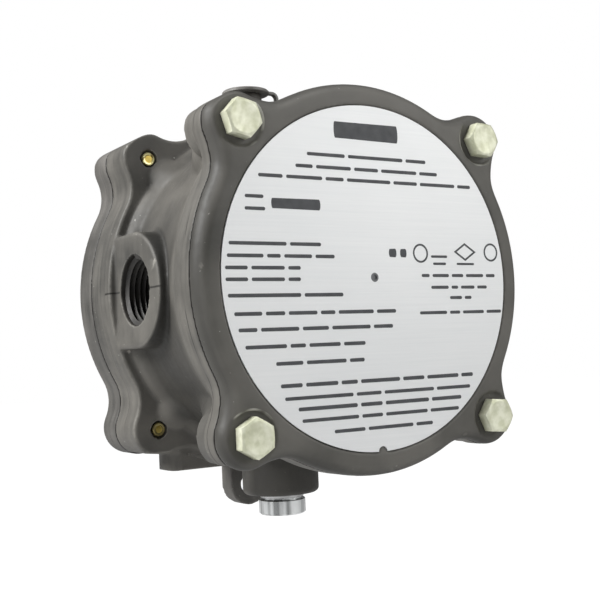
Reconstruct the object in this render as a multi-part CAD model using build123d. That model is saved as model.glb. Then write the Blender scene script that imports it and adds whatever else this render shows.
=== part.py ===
from build123d import *
import math
import os

os.makedirs("parts", exist_ok=True)

# The frame: millimetres, origin on the wall face at the centre of the diaphragm, front towards -Y, +Z up.
# Every Y value below is negative, because the whole switch stands in front of the wall face.

# Overall form
switch_chamber_r = 46
barrel_wall = 6.5
barrel_swell = 0.7
rim_overhang = 6
bolt_circle_out = 2.735
front_lobe_r = 9.2
rear_lobe_r = 8.65
front_blend_r = 15
rear_blend_r = 13
fit_gap = 0.05
screw_gap = 0.03
set_gap = 0.01
root_sink = 1

# Rear cover
rear_cover_t = 12.3
chamber_step = 2
high_chamber_depth = 7.3
rear_edge_round = 2.6
lug_out = 8
lug_half_width = 7.4
lug_t = 7.3
lug_hole_r = 3.4
stop_pad_r = 8
diaphragm_seat_gap = 0.2

# Main housing
rear_flange_t = 15.2
rear_flange_round = 1.0
front_flange_t = 5.6
flare_length = 17
flare_lead = 2.2
flare_round = 8
flare_hollow = 25
low_chamber_depth = 8.2
partition_t = 6.5
cove_r = 6.5
cove_length = 4.5
cove_sink = 1
casting_step = 0.3

# Conduit hub
hub_forward = 14.3
hub_stand = 3.5
hub_r = 17.7
hub_bore_r = 10.75
hub_inset = 5
hub_inner_r = 14
hub_edge_round = 1.2

# Drain
drain_forward = 2
drain_boss_r = 12.6
drain_boss_drop = 15.1
drain_boss_round = 1.6
drain_bore_rise = 4
plug_rise = 3
plug_groove_sink = 0.8
plug_slot_w = 1.6
plug_slot_depth = 1.5
plug_chamfer = 0.35
drain_bore_r = 4.8
gasket_t = 0.9
gasket_r = 7.2
plug_collar_r = 6.8
plug_collar_t = 1.3
plug_groove_t = 0.5
plug_head_r = 7.8
plug_head_t = 5.0
vent_r = 0.8

# Pressure ports
port_bore_r = 4.9
port_depth = 9
port_x = 28
port_boss_half_width = 14
port_boss_short = 1.3
port_boss_sink = 3.7
port_boss_round = 4
port_wall = 1.25
low_port_wall = 3.15
passage_r = 1.6
passage_spare = 1.5

# Front cover and nameplate
cover_t = 5.5
cover_edge_round = 4.4
plate_margin = 7.7
plate_t = 0.8
plate_gap = 0.4
plate_proud = 0.3
spigot_depth = 6
spigot_wall = 5.2
cover_wall = 4.9
o_ring_section_r = 1.1
o_ring_offset = 3.4
pip_r = 1.3
pip_gap = 0.25
dimple_r = 0.8
dimple_depth = 0.35
o_ring_squeeze = 0.02
o_ring_groove_spare = 0.25

# Cover bolts: six-sided heads, 10 across flats
head_across_flats = 10
head_t = 4
bolt_r = 3
bolt_hole_r = 3.3
bolt_length = 16
bolt_hole_spare = 1.5
spot_face_r = 7.6
spot_face_sink = 0.9
bolt_turns = [0, 7, -5, 30]
bolt_chamfer = 0.7
head_face_share = 0.95
boss_tip_r = 4
boss_tip_sink = 5.12
boss_length = 32
swell_r = 7.2
swell_out = 0.11
swell_tip_r = 5
swell_tip_sink = 8.66
swell_length = 12

# Rear cover screws
rear_screw_r = 2.08
rear_screw_head_r = 3.7
rear_screw_head_t = 2.7
rear_screw_sink = 3.1
rear_screw_clear_r = 2.35
tip_recess_r = 2.8
tip_recess_depth = 1.6
tip_sink = 0.3
rear_screw_head_gap = 0.4
rear_screw_slot_w = 1.1
rear_screw_slot_depth = 1.2

# Diaphragm stack
diaphragm_t = 1.0
diaphragm_grip = 5
convolution_margin = 1.5
convolution_width = 6
convolution_height = 2.4
plate_disc_margin = 2.5
plate_disc_t = 1.5
centre_screw_r = 1.5
centre_screw_head_r = 3.2
centre_screw_head_t = 2
centre_hole_gap = 0.1
rod_hole_depth = 7
centre_screw_grip = 6
rest_gap = 0.1
rod_travel = 0.8
rod_r = 2
rod_shoulder_r = 5
rod_shoulder_t = 1.5
stop_ring_r = 15
stop_ring_wall = 3
rod_bushing_r = 6
rod_bushing_flange_r = 8
rod_bushing_flange_t = 1.2
rod_bushing_nose = 6.5
rod_tip_round = 1.4

# Lever, with the pivot below the rod
pivot_forward = 6.6
pivot_z = -12
pivot_r = 1.5
lever_half_width = 15.4
sheet_t = 1.6
web_gap = 0.03
rod_reach = 10.4
lever_top_z = 12
lever_right_x = 6
lever_foot_z = -15
lever_shelf_gap = 0.8
lever_ear_height = 6
lever_shoulder_height = 12
lever_shelf_width = 12.2
ear_wall = 1.6

# Bracket
bracket_t = 2
bracket_side_gap = 0.6
shelf_z = -0.7
shelf_depth = 21.2
shelf_back_gap = 0.8
bracket_low_z = -18
foot_width = 12
foot_top_z = -2.5
foot_screw_x = 23.5
foot_screw_z = -10.5
foot_screw_turn = 30
m4_r = 2
m4_head_r = 3.8
m4_head_t = 2.6
m4_hole_depth = 5
m4_grip = 4.5
m4_foot_gap = 0.2
bracket_slope = 14
bracket_nose = 3
pin_clip_r = 3.2
pin_clip_t = 0.6
pin_clip_gap = 0.1
pin_groove = 0.35
pin_end = 1.6
pin_clip_mouth = 1.1

# Snap switch
switch_length = 49.2
switch_height = 24.2
switch_t = 17.45
switch_forward = 8.6
cover_clear = 6.9
plunger_r = 1.6
plunger_show = 1.95
plunger_length = 6.5
plunger_z = 8
switch_hole_x = 12.7
terminal_pitch = 16
terminal_w = 8.5
terminal_t = 1
terminal_screw_r = 1.7
terminal_head_r = 3.1
terminal_head_t = 2.1
terminal_screw_turn = 20
barrier_t = 1.4
barrier_h = 4.5
barrier_margin = 1
switch_round = 1.2
plunger_round = 0.9

# Actuating screw in the lever
actuating_screw_r = 1.5
actuating_nut_flats = 5.5
actuating_nut_t = 2.2
contact_gap = 0.03
actuating_screw_show = 1.6
actuating_slot_w = 0.6
actuating_slot_depth = 0.7

# Set point adjuster
adjuster_forward = 5.3
adjuster_rise = 13.5
adjuster_top_r = 5.2
adjuster_base_r = 7.2
adjuster_pocket_r = 3.5
adjuster_pocket_depth = 6
adjuster_bushing_r = 4.2
adjuster_bushing_drop = 0.6
adjuster_end_play = 0.05
ceiling_flat_sink = 1.8
ceiling_flat_r = 6.2
ceiling_cut = 4
adjuster_shaft_r = 2.45
adjuster_head_r = 3.2
adjuster_head_t = 3.4
adjuster_slot_w = 1
adjuster_slot_depth = 1.4
adjuster_tip_chamfer = 0.6
clip_t = 0.8
clip_groove = 0.5
clip_side_gap = 0.02
clip_top_gap = 0.1
clip_mouth = 1.3
thread_spare = 6
thread_pitch = 0.8
nut_r = 5
nut_t = 3
nut_top_gap = 5.2
nut_turns = 7.5
nut_travel = nut_turns * thread_pitch
rib_margin = 2
nut_flat = 4.15
guide_gap = 0.15
guide_width = 7

# Range spring
spring_wire_r = 0.45
spring_r = 3.75
spring_turns = 7
spring_seat_gap = 0.02
spring_pilot_r = 2.9
spring_pilot_t = 1.4

# Swing cover over the adjuster
lid_r = 7.9
lid_t = 1.4
lid_gap = 0.15
arm_t = 2.1
arm_width = 6
arm_drop_x = 11.9
arm_bend_r = 3.3
lid_pivot_x = 7.9
lid_pad_r = 4.6
lid_foot_r = 4.4
lid_pad_drop = 10.7
lid_screw_r = 2
lid_screw_head_r = 3.6
lid_screw_head_t = 2.4
lid_washer_t = 0.5
lid_washer_rim = 0.4
lid_swing_gap = 0.1
arm_sweep_gap = 1.8
lid_screw_grip = 5.5
lid_screw_hole_depth = 6
lid_edge_round = 0.4

# Ground screw inside the switch chamber
ground_inset = 11.94
ground_angle = 40.24
ground_screw_turn = 15
ground_head_r = 4
ground_head_t = 2.4

# Radii and heights, worked out from the sizes above
barrel_r = switch_chamber_r + barrel_wall
barrel_mid_r = barrel_r + barrel_swell
rim_r = barrel_r + rim_overhang
bolt_offset = (rim_r + bolt_circle_out) / math.sqrt(2)
boss_tip_offset = (barrel_r - boss_tip_sink) / math.sqrt(2)
swell_offset = (barrel_r + swell_out) / math.sqrt(2)
swell_tip_offset = (barrel_r - swell_tip_sink) / math.sqrt(2)
plate_r = rim_r - plate_margin
lug_spacing = 2 * (rim_r + lug_out)
chamber_r = switch_chamber_r - chamber_step
diaphragm_r = chamber_r + diaphragm_grip
convolution_out_r = chamber_r - convolution_margin
convolution_in_r = convolution_out_r - convolution_width
plate_disc_r = convolution_in_r - plate_disc_margin
hub_face_x = -barrel_r - hub_stand
hub_inner_x = -switch_chamber_r + hub_inset
drain_boss_z = -barrel_r - drain_boss_drop
drain_bore_top_z = -switch_chamber_r + drain_bore_rise
plug_top_z = -barrel_r + plug_rise
port_boss_z = -rim_r + port_boss_short
port_boss_top_z = -chamber_r + port_boss_sink
adjuster_top_z = barrel_r + adjuster_rise
ceiling_flat_z = switch_chamber_r - ceiling_flat_sink
clip_low_z = ceiling_flat_z - clip_t - clip_top_gap
nut_top_z = ceiling_flat_z - nut_top_gap
thread_end_z = nut_top_z - nut_t - nut_travel - thread_spare
lid_pad_z = adjuster_top_z - lid_pad_drop
ground_x = (switch_chamber_r - ground_inset) * math.cos(math.radians(ground_angle))
ground_z = (switch_chamber_r - ground_inset) * math.sin(math.radians(ground_angle))
bracket_inner_x = lever_half_width + bracket_side_gap
adjuster_x = -lever_half_width + lever_shelf_width / 2

# Places along the depth, from the wall face to the front
wall_y = 0
joint_y = -rear_cover_t
plates_back_y = joint_y + diaphragm_t + plate_disc_t
stack_back_y = plates_back_y + centre_screw_head_t
stop_ring_front_y = joint_y - plate_disc_t - rod_travel - rest_gap
rear_flange_front_y = joint_y - rear_flange_t
partition_back_y = joint_y - low_chamber_depth
partition_front_y = partition_back_y - partition_t
low_port_y = rear_flange_front_y + port_bore_r + low_port_wall
high_port_y = joint_y + port_bore_r + port_wall
drain_y = partition_front_y - drain_forward
adjuster_y = partition_front_y - adjuster_forward
hub_y = partition_front_y - hub_forward
rod_tip_y = partition_front_y - rod_reach
pivot_y = rod_tip_y - pivot_forward
switch_back_y = rod_tip_y - switch_forward
shelf_back_y = switch_back_y - shelf_back_gap
shelf_front_y = shelf_back_y - shelf_depth
switch_mid_y = switch_back_y - switch_height / 2
switch_front_y = switch_back_y - switch_height
terminal_front_y = switch_front_y - terminal_t
barrier_front_y = switch_front_y - barrier_h
cover_inside_y = barrier_front_y - cover_clear
plate_back_y = cover_inside_y - cover_wall
plate_front_y = plate_back_y - plate_t
cover_front_y = plate_front_y - plate_proud
cover_back_y = cover_front_y + cover_t
o_ring_y = cover_back_y + o_ring_offset
front_flange_back_y = cover_back_y + front_flange_t
spot_face_y = cover_front_y + spot_face_sink
bolt_end_y = spot_face_y + bolt_length
corners = [(-1, 1), (1, 1), (1, -1), (-1, -1)]


def plane_at(y):
    # a drawing plane with local x along X, local y along Z and its normal towards the front
    return Plane.XZ.offset(-y)


def rod_y(r, front_y, back_y, x=0, z=0):
    return extrude(plane_at(back_y) * Pos(x, z) * Circle(r), amount=back_y - front_y)


def slab_y(outline, front_y, back_y):
    return extrude(plane_at(back_y) * outline, amount=back_y - front_y)


def rod_z(r, low_z, high_z, x, y):
    return Pos(x, y, low_z) * Cylinder(r, high_z - low_z, align=(Align.CENTER, Align.CENTER, Align.MIN))


def rod_x(r, low_x, high_x, y, z):
    return extrude(Plane.YZ.offset(low_x) * Pos(y, z) * Circle(r), amount=high_x - low_x)


def block(x0, x1, y0, y1, z0, z1):
    return Pos((x0 + x1) / 2, (y0 + y1) / 2, (z0 + z1) / 2) * Box(x1 - x0, y1 - y0, z1 - z0)


def turned_y(*edges):
    # a profile drawn with radius along X and depth along Y, turned about the Y axis
    return revolve(make_face(edges), Axis.Y)


def lobed_outline(rim, lobe_r, blend_r):
    # a round rim with a lobe at each bolt, and hollow blends between them
    outline = Circle(rim)
    for side_x, side_z in corners:
        outline += Pos(side_x * bolt_offset, side_z * bolt_offset) * Circle(lobe_r)
    waists = [
        v for v in outline.vertices()
        if abs(math.hypot(v.X, v.Y) - rim) < 0.01
        and abs(math.hypot(abs(v.X) - bolt_offset, abs(v.Y) - bolt_offset) - lobe_r) < 0.01
    ]
    return fillet(waists, radius=blend_r)


def save(shape, name):
    export_step(shape, f"parts/{name}.step")


def group(shapes):
    return Compound(children=[s.solid() for s in shapes])


# Rear cover: lobed disc with two wall lugs, the high pressure chamber and its port boss
def rear_cover():
    body = slab_y(lobed_outline(rim_r, rear_lobe_r, rear_blend_r), joint_y, wall_y)
    body = fillet(body.edges().group_by(Axis.Y)[-1], radius=rear_edge_round)
    lug_outline = SlotCenterToCenter(lug_spacing, 2 * lug_half_width, rotation=90)
    body += slab_y(lug_outline, wall_y - lug_t, wall_y)
    boss = block(port_x - port_boss_half_width, port_x + port_boss_half_width,
                 joint_y, high_port_y + port_bore_r + port_wall, port_boss_z, port_boss_top_z)
    low_edges = boss.edges().filter_by(Axis.Y).group_by(Axis.Z)[0]
    body += fillet(low_edges, radius=port_boss_round)
    body -= rod_y(chamber_r, joint_y, joint_y + high_chamber_depth)
    body += rod_y(stop_pad_r, stack_back_y + rest_gap, joint_y + high_chamber_depth)
    body -= rod_y(diaphragm_r + diaphragm_seat_gap, joint_y, joint_y + diaphragm_t)
    body -= rod_z(port_bore_r, port_boss_z, port_boss_z + port_depth, port_x, high_port_y)
    passage_top_z = -math.sqrt(chamber_r ** 2 - port_x ** 2) + passage_spare
    body -= rod_z(passage_r, port_boss_z, passage_top_z, port_x, high_port_y)
    for side in (-1, 1):
        body -= rod_y(lug_hole_r, wall_y - lug_t, wall_y, 0, side * lug_spacing / 2)
    for side_x, side_z in corners:
        x, z = side_x * bolt_offset, side_z * bolt_offset
        body -= rod_y(rear_screw_clear_r, joint_y, wall_y, x, z)
        body -= rod_y(rear_screw_head_r + rear_screw_head_gap, wall_y - rear_screw_sink, wall_y, x, z)
    return body


# Main housing: one casting with both flanges, the barrel, hub, bosses and the inner partition
def housing_outside():
    body = slab_y(lobed_outline(rim_r, front_lobe_r, front_blend_r), cover_back_y, front_flange_back_y)
    rear = slab_y(lobed_outline(rim_r, rear_lobe_r, rear_blend_r), rear_flange_front_y, joint_y)
    body += fillet(rear.edges().group_by(Axis.Y)[0], radius=rear_flange_round)
    flare_end_y = front_flange_back_y + flare_length
    cove_start_y = rear_flange_front_y - cove_length
    cove_end_y = rear_flange_front_y + cove_sink
    cove_end_r = barrel_r + cove_r - math.sqrt(cove_r ** 2 - (cove_end_y - cove_start_y) ** 2)
    flare_r = rim_r - casting_step
    flare = FilletPolyline(
        (flare_r, front_flange_back_y), (flare_r, front_flange_back_y + flare_lead),
        (barrel_mid_r, flare_end_y - flare_lead), (barrel_r, cove_start_y), radius=[flare_round, flare_hollow])
    barrel = turned_y(
        Line((0, front_flange_back_y - root_sink), (flare_r, front_flange_back_y - root_sink)),
        Line((flare_r, front_flange_back_y - root_sink), flare @ 0),
        *flare.edges(),
        RadiusArc(flare @ 1, (cove_end_r, cove_end_y), -cove_r),
        Line((cove_end_r, cove_end_y), (0, cove_end_y)),
        Line((0, cove_end_y), (0, front_flange_back_y - root_sink)),
    )
    body += barrel
    for side_x, side_z in corners:
        body += bolt_boss(side_x, side_z)
        body += screw_swell(side_x, side_z)
    return body + hub() + drain_boss() + low_port_boss() + adjuster_boss() + lid_pad()


def slanting_cone(y0, offset0, r0, y1, offset1, r1, side_x, side_z):
    # a cone between two rounds that lie on the same diagonal at different depths
    wide = plane_at(y0) * Pos(side_x * offset0, side_z * offset0) * Circle(r0)
    narrow = plane_at(y1) * Pos(side_x * offset1, side_z * offset1) * Circle(r1)
    return loft([wide.face(), narrow.face()])


def bolt_boss(side_x, side_z):
    # the casting behind each front lobe runs back into the barrel
    wide_r = front_lobe_r - casting_step
    return slanting_cone(front_flange_back_y - root_sink, bolt_offset, wide_r,
                         front_flange_back_y + boss_length, boss_tip_offset, boss_tip_r, side_x, side_z)


def screw_swell(side_x, side_z):
    # the root of the barrel swells towards each screw lobe of the rear flange
    return slanting_cone(rear_flange_front_y + cove_sink, swell_offset, swell_r,
                         rear_flange_front_y - swell_length, swell_tip_offset, swell_tip_r, side_x, side_z)


def hub():
    outline = Circle(hub_r)
    run = rear_flange_front_y + 2 * root_sink - hub_y
    outline += Pos(run / 2, 0) * Rectangle(run, 2 * hub_r)
    reach = hub_inner_x + root_sink - hub_face_x
    body = extrude(Plane.YZ.offset(hub_face_x) * Pos(hub_y, 0) * outline, amount=reach)
    return fillet(body.edges().group_by(Axis.X)[0], radius=hub_edge_round)


def drain_boss():
    body = rod_z(drain_boss_r, drain_boss_z, -bolt_offset, 0, drain_y)
    return fillet(body.edges().group_by(Axis.Z)[0], radius=drain_boss_round)


def low_port_boss():
    body = block(-port_x - port_boss_half_width, -port_x + port_boss_half_width,
                 rear_flange_front_y + root_sink, joint_y, port_boss_z, port_boss_top_z)
    low_edges = body.edges().filter_by(Axis.Y).group_by(Axis.Z)[0]
    return fillet(low_edges, radius=port_boss_round)


def adjuster_boss():
    height = adjuster_top_z - ceiling_flat_z
    cone = Cone(adjuster_base_r, adjuster_top_r, height, align=(Align.CENTER, Align.CENTER, Align.MIN))
    return Pos(adjuster_x, adjuster_y, ceiling_flat_z) * cone


def lid_pad():
    return rod_z(lid_pad_r, ceiling_flat_z + 2, lid_pad_z, lid_pivot_x, adjuster_y)


def main_housing():
    body = housing_outside()
    body -= rod_y(switch_chamber_r, cover_back_y, partition_front_y)
    body -= rod_y(chamber_r, partition_back_y, joint_y)
    body += rod_y(stop_ring_r, stop_ring_front_y, partition_back_y)
    body -= rod_y(stop_ring_r - stop_ring_wall, stop_ring_front_y, partition_back_y)
    body += rod_x(hub_inner_r, -switch_chamber_r, hub_inner_x, hub_y, 0)
    body += guide_rib()
    body -= rod_x(hub_bore_r, hub_face_x, hub_inner_x, hub_y, 0)
    body -= rod_y(rod_bushing_r, partition_front_y, partition_back_y)
    body -= rod_z(drain_bore_r + screw_gap, drain_boss_z, drain_bore_top_z, 0, drain_y)
    body -= rod_z(port_bore_r, port_boss_z, port_boss_z + port_depth, -port_x, low_port_y)
    passage_top_z = -math.sqrt(chamber_r ** 2 - port_x ** 2) + passage_spare
    body -= rod_z(passage_r, port_boss_z, passage_top_z, -port_x, low_port_y)
    body -= rod_z(adjuster_bushing_r, ceiling_flat_z - ceiling_cut, adjuster_top_z, adjuster_x, adjuster_y)
    body -= rod_z(adjuster_pocket_r, adjuster_top_z - adjuster_pocket_depth, adjuster_top_z, adjuster_x, adjuster_y)
    body -= rod_z(ceiling_flat_r, ceiling_flat_z - ceiling_cut, ceiling_flat_z, adjuster_x, adjuster_y)
    body -= rod_z(lid_screw_r + screw_gap, lid_pad_z - lid_screw_hole_depth, lid_pad_z, lid_pivot_x, adjuster_y)
    for side_x, side_z in corners:
        x, z = side_x * bolt_offset, side_z * bolt_offset
        body -= rod_y(bolt_r + screw_gap, cover_back_y, bolt_end_y + bolt_hole_spare, x, z)
        body -= rod_y(rear_screw_r + screw_gap, rear_flange_front_y, joint_y, x, z)
        body -= rod_y(tip_recess_r, rear_flange_front_y, rear_flange_front_y + tip_recess_depth, x, z)
    for side in (-1, 1):
        body -= rod_y(m4_r + screw_gap, partition_front_y, partition_front_y + m4_hole_depth,
                      side * foot_screw_x, foot_screw_z)
    body -= rod_y(m4_r + screw_gap, partition_front_y, partition_front_y + m4_hole_depth, ground_x, ground_z)
    return body


def guide_rib():
    # a cast rib that keeps the spring nut from turning
    rib_front_y = adjuster_y + nut_flat + guide_gap
    half = guide_width / 2
    low_z = nut_top_z - nut_t - nut_travel - rib_margin
    return block(adjuster_x - half, adjuster_x + half, rib_front_y, partition_front_y, low_z, ceiling_flat_z)


# Front cover with its spigot, seal groove, nameplate recess and spot faces
def front_cover():
    body = slab_y(lobed_outline(rim_r, front_lobe_r, front_blend_r), cover_front_y, cover_back_y)
    body = fillet(body.edges().group_by(Axis.Y)[0], radius=cover_edge_round)
    spigot_r = switch_chamber_r - fit_gap
    spigot_back_y = cover_back_y + spigot_depth
    body += rod_y(spigot_r, cover_back_y, spigot_back_y)
    groove_r = switch_chamber_r - 2 * o_ring_section_r
    groove_half = o_ring_section_r + o_ring_groove_spare
    body -= rod_y(spigot_r, o_ring_y - groove_half, o_ring_y + groove_half)
    body += rod_y(groove_r, o_ring_y - groove_half, o_ring_y + groove_half)
    body -= rod_y(spigot_r - spigot_wall, cover_inside_y, spigot_back_y)
    body -= rod_y(plate_r + plate_gap, cover_front_y, plate_back_y)
    body += rod_y(pip_r, plate_front_y, plate_back_y, 0, -plate_r)
    for side_x, side_z in corners:
        x, z = side_x * bolt_offset, side_z * bolt_offset
        body -= rod_y(bolt_hole_r, cover_front_y, cover_back_y, x, z)
        body -= rod_y(spot_face_r, cover_front_y, spot_face_y, x, z)
    return body


def nameplate():
    body = rod_y(plate_r, plate_front_y, plate_back_y)
    body -= rod_y(pip_r + pip_gap, plate_front_y, plate_back_y, 0, -plate_r)
    return body - rod_y(dimple_r, plate_front_y, plate_front_y + dimple_depth)


def cover_o_ring():
    ring_r = switch_chamber_r - o_ring_section_r
    return Pos(0, o_ring_y, 0) * Rot(90, 0, 0) * Torus(ring_r, o_ring_section_r - o_ring_squeeze)


def turned_head(face_r, wide_r, face_y, wide_y, x, z):
    # the round chamfer that trims the corners of a six-sided head
    outline = turned_y(
        Line((0, face_y), (face_r, face_y)),
        Line((face_r, face_y), (wide_r, wide_y)),
        Line((wide_r, wide_y), (wide_r, spot_face_y)),
        Line((wide_r, spot_face_y), (0, spot_face_y)),
        Line((0, spot_face_y), (0, face_y)),
    )
    return Pos(x, 0, z) * outline


def cover_bolt(side_x, side_z, turn):
    # a six-sided head with a chamfered face, on a plain shank
    x, z = side_x * bolt_offset, side_z * bolt_offset
    corner_r = head_across_flats / math.sqrt(3)
    six = Pos(x, z) * RegularPolygon(corner_r, 6, rotation=turn)
    head = slab_y(six, spot_face_y - head_t, spot_face_y)
    chamfer_r = head_across_flats / 2 * head_face_share
    chamfer_depth = (corner_r - chamfer_r) * math.tan(math.radians(30))
    face_y = spot_face_y - head_t
    head &= turned_head(chamfer_r, corner_r + set_gap, face_y, face_y + chamfer_depth, x, z)
    shank = rod_y(bolt_r, spot_face_y, bolt_end_y, x, z)
    return head + chamfer(shank.edges().group_by(Axis.Y)[-1], length=bolt_chamfer)


def rear_cover_screw(side_x, side_z):
    x, z = side_x * bolt_offset, side_z * bolt_offset
    seat_y = wall_y - rear_screw_sink
    head = rod_y(rear_screw_head_r, seat_y, seat_y + rear_screw_head_t, x, z)
    head = fillet(head.edges().group_by(Axis.Y)[-1], radius=0.8)
    slot = Pos(x, seat_y + rear_screw_head_t, z) * Box(
        2 * rear_screw_head_r + 1, 2 * rear_screw_slot_depth, rear_screw_slot_w)
    shank = rod_y(rear_screw_r, rear_flange_front_y + tip_sink, seat_y, x, z)
    return head - slot + chamfer(shank.edges().group_by(Axis.Y)[0], length=0.4)


# Diaphragm, its two plates, the rod and the centre screw
def diaphragm():
    front_y, back_y = joint_y, joint_y + diaphragm_t
    mid_r = (convolution_in_r + convolution_out_r) / 2
    return turned_y(
        Line((centre_screw_r + centre_hole_gap, front_y), (convolution_in_r, front_y)),
        ThreePointArc((convolution_in_r, front_y), (mid_r, front_y + convolution_height),
                      (convolution_out_r, front_y)),
        Line((convolution_out_r, front_y), (diaphragm_r, front_y)),
        Line((diaphragm_r, front_y), (diaphragm_r, back_y)),
        Line((diaphragm_r, back_y), (convolution_out_r + 0.5, back_y)),
        ThreePointArc((convolution_out_r + 0.5, back_y), (mid_r, back_y + convolution_height),
                      (convolution_in_r - 0.5, back_y)),
        Line((convolution_in_r - 0.5, back_y), (centre_screw_r + centre_hole_gap, back_y)),
        Line((centre_screw_r + centre_hole_gap, back_y), (centre_screw_r + centre_hole_gap, front_y)),
    )


def diaphragm_plate(front_y):
    body = rod_y(plate_disc_r, front_y, front_y + plate_disc_t)
    body = chamfer(body.edges().filter_by(GeomType.CIRCLE), length=0.3)
    return body - rod_y(centre_screw_r + fit_gap, front_y, front_y + plate_disc_t)


def push_rod():
    shoulder_back_y = joint_y - plate_disc_t
    body = rod_y(rod_r, rod_tip_y + web_gap, shoulder_back_y)
    body = fillet(body.edges().group_by(Axis.Y)[0], radius=rod_tip_round)
    body += rod_y(rod_shoulder_r, shoulder_back_y - rod_shoulder_t, shoulder_back_y)
    return body - rod_y(centre_screw_r, shoulder_back_y - rod_hole_depth, shoulder_back_y)


def centre_screw():
    head = rod_y(centre_screw_head_r, plates_back_y, stack_back_y)
    head = fillet(head.edges().group_by(Axis.Y)[-1], radius=0.6)
    head -= Pos(0, stack_back_y, 0) * Box(2 * centre_screw_head_r + 1, 1.6, 0.9)
    return head + rod_y(centre_screw_r - set_gap, joint_y - plate_disc_t - centre_screw_grip, plates_back_y)


def rod_bushing():
    body = rod_y(rod_bushing_r - set_gap, partition_front_y - rod_bushing_nose, partition_back_y)
    body += rod_y(rod_bushing_flange_r, partition_front_y - rod_bushing_flange_t, partition_front_y)
    return body - rod_y(rod_r + fit_gap, partition_front_y - rod_bushing_nose, partition_back_y)


# Bracket that carries the switch and the lever's pin
def switch_bracket():
    outer_x = bracket_inner_x + bracket_t
    body = block(-outer_x, outer_x, shelf_front_y, shelf_back_y, shelf_z - bracket_t, shelf_z)
    foot_y = partition_front_y - bracket_t
    for side in (-1, 1):
        wall_x0, wall_x1 = sorted((side * bracket_inner_x, side * outer_x))
        low_front = shelf_front_y + bracket_slope
        profile = Polyline(
            (shelf_front_y, shelf_z), (partition_front_y, shelf_z), (partition_front_y, bracket_low_z),
            (low_front, bracket_low_z), (shelf_front_y, shelf_z - bracket_t - bracket_nose), close=True)
        wall = extrude(Plane.YZ.offset(wall_x0) * make_face(profile), amount=wall_x1 - wall_x0)
        foot_x0, foot_x1 = sorted((side * bracket_inner_x, side * (bracket_inner_x + foot_width)))
        foot = block(foot_x0, foot_x1, foot_y, partition_front_y, bracket_low_z, foot_top_z)
        body += wall + foot
        body -= rod_y(m4_r + m4_foot_gap, foot_y, partition_front_y, side * foot_screw_x, foot_screw_z)
        body -= rod_z(m4_r + set_gap, shelf_z - bracket_t, shelf_z, side * switch_hole_x, switch_mid_y)
    return body - rod_x(pivot_r + set_gap, -outer_x, outer_x, pivot_y, pivot_z)


def pan_screw_front(x, z, seat_y, head_r, head_t, shank_r, length, slot_turn=0):
    # a slotted pan head screw that goes in from the front
    head = rod_y(head_r, seat_y - head_t, seat_y, x, z)
    head = fillet(head.edges().group_by(Axis.Y)[0], radius=head_t * 0.4)
    head -= Pos(x, seat_y - head_t, z) * Rot(0, slot_turn, 0) * Box(2 * head_r + 1, head_t * 0.9, head_r * 0.28)
    return head + rod_y(shank_r, seat_y, seat_y + length, x, z)


def pan_screw_top(x, y, seat_z, head_r, head_t, shank_r, length):
    head = rod_z(head_r, seat_z, seat_z + head_t, x, y)
    head = fillet(head.edges().group_by(Axis.Z)[-1], radius=head_t * 0.4)
    head -= Pos(x, y, seat_z + head_t) * Box(head_r * 0.28, 2 * head_r + 1, head_t * 0.9)
    return head + rod_z(shank_r, seat_z - length, seat_z, x, y)


def lever():
    web_front_y = rod_tip_y - sheet_t
    outline = Polyline(
        (-lever_half_width, lever_foot_z), (lever_half_width, lever_foot_z),
        (lever_half_width, pivot_z + lever_ear_height), (lever_right_x, pivot_z + lever_shoulder_height),
        (lever_right_x, lever_top_z), (-lever_half_width, lever_top_z), close=True)
    body = slab_y(make_face(outline), web_front_y, rod_tip_y)
    shelf_back = partition_front_y - lever_shelf_gap
    body += block(-lever_half_width, -lever_half_width + lever_shelf_width, web_front_y, shelf_back,
                  lever_top_z - sheet_t, lever_top_z)
    ear = Pos(pivot_y, pivot_z) * Circle(pivot_r + ear_wall)
    ear_top_z = pivot_z + lever_ear_height
    ear += Pos((pivot_y + rod_tip_y) / 2, (lever_foot_z + ear_top_z) / 2) * Rectangle(
        rod_tip_y - pivot_y, ear_top_z - lever_foot_z)
    for side in (-1, 1):
        x0 = min(side * lever_half_width, side * (lever_half_width - sheet_t))
        body += extrude(Plane.YZ.offset(x0) * ear, amount=sheet_t)
    body += rod_z(spring_pilot_r, lever_top_z, lever_top_z + spring_pilot_t, adjuster_x, adjuster_y)
    body -= rod_x(pivot_r + fit_gap, -lever_half_width, lever_half_width, pivot_y, pivot_z)
    return body - rod_y(actuating_screw_r + set_gap, web_front_y, rod_tip_y, 0, plunger_z)


def lever_pin():
    half = bracket_inner_x + bracket_t + pin_end
    body = rod_x(pivot_r, -half, half, pivot_y, pivot_z)
    for side in (-1, 1):
        clip_x0, clip_x1 = pin_clip_span(side)
        ring = rod_x(pivot_r, clip_x0, clip_x1, pivot_y, pivot_z)
        body -= ring - rod_x(pivot_r - pin_groove, clip_x0, clip_x1, pivot_y, pivot_z)
    return body


def pin_clip_span(side):
    near = bracket_inner_x + bracket_t + pin_clip_gap
    return sorted((side * near, side * (near + pin_clip_t)))


def pin_clip(side):
    x0, x1 = pin_clip_span(side)
    ring = rod_x(pin_clip_r, x0, x1, pivot_y, pivot_z)
    ring -= rod_x(pivot_r - pin_groove + clip_side_gap, x0, x1, pivot_y, pivot_z)
    mouth = pin_clip_mouth
    return ring - block(x0, x1, pivot_y - mouth, pivot_y + mouth, pivot_z, pivot_z + pin_clip_r + 1)


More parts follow.
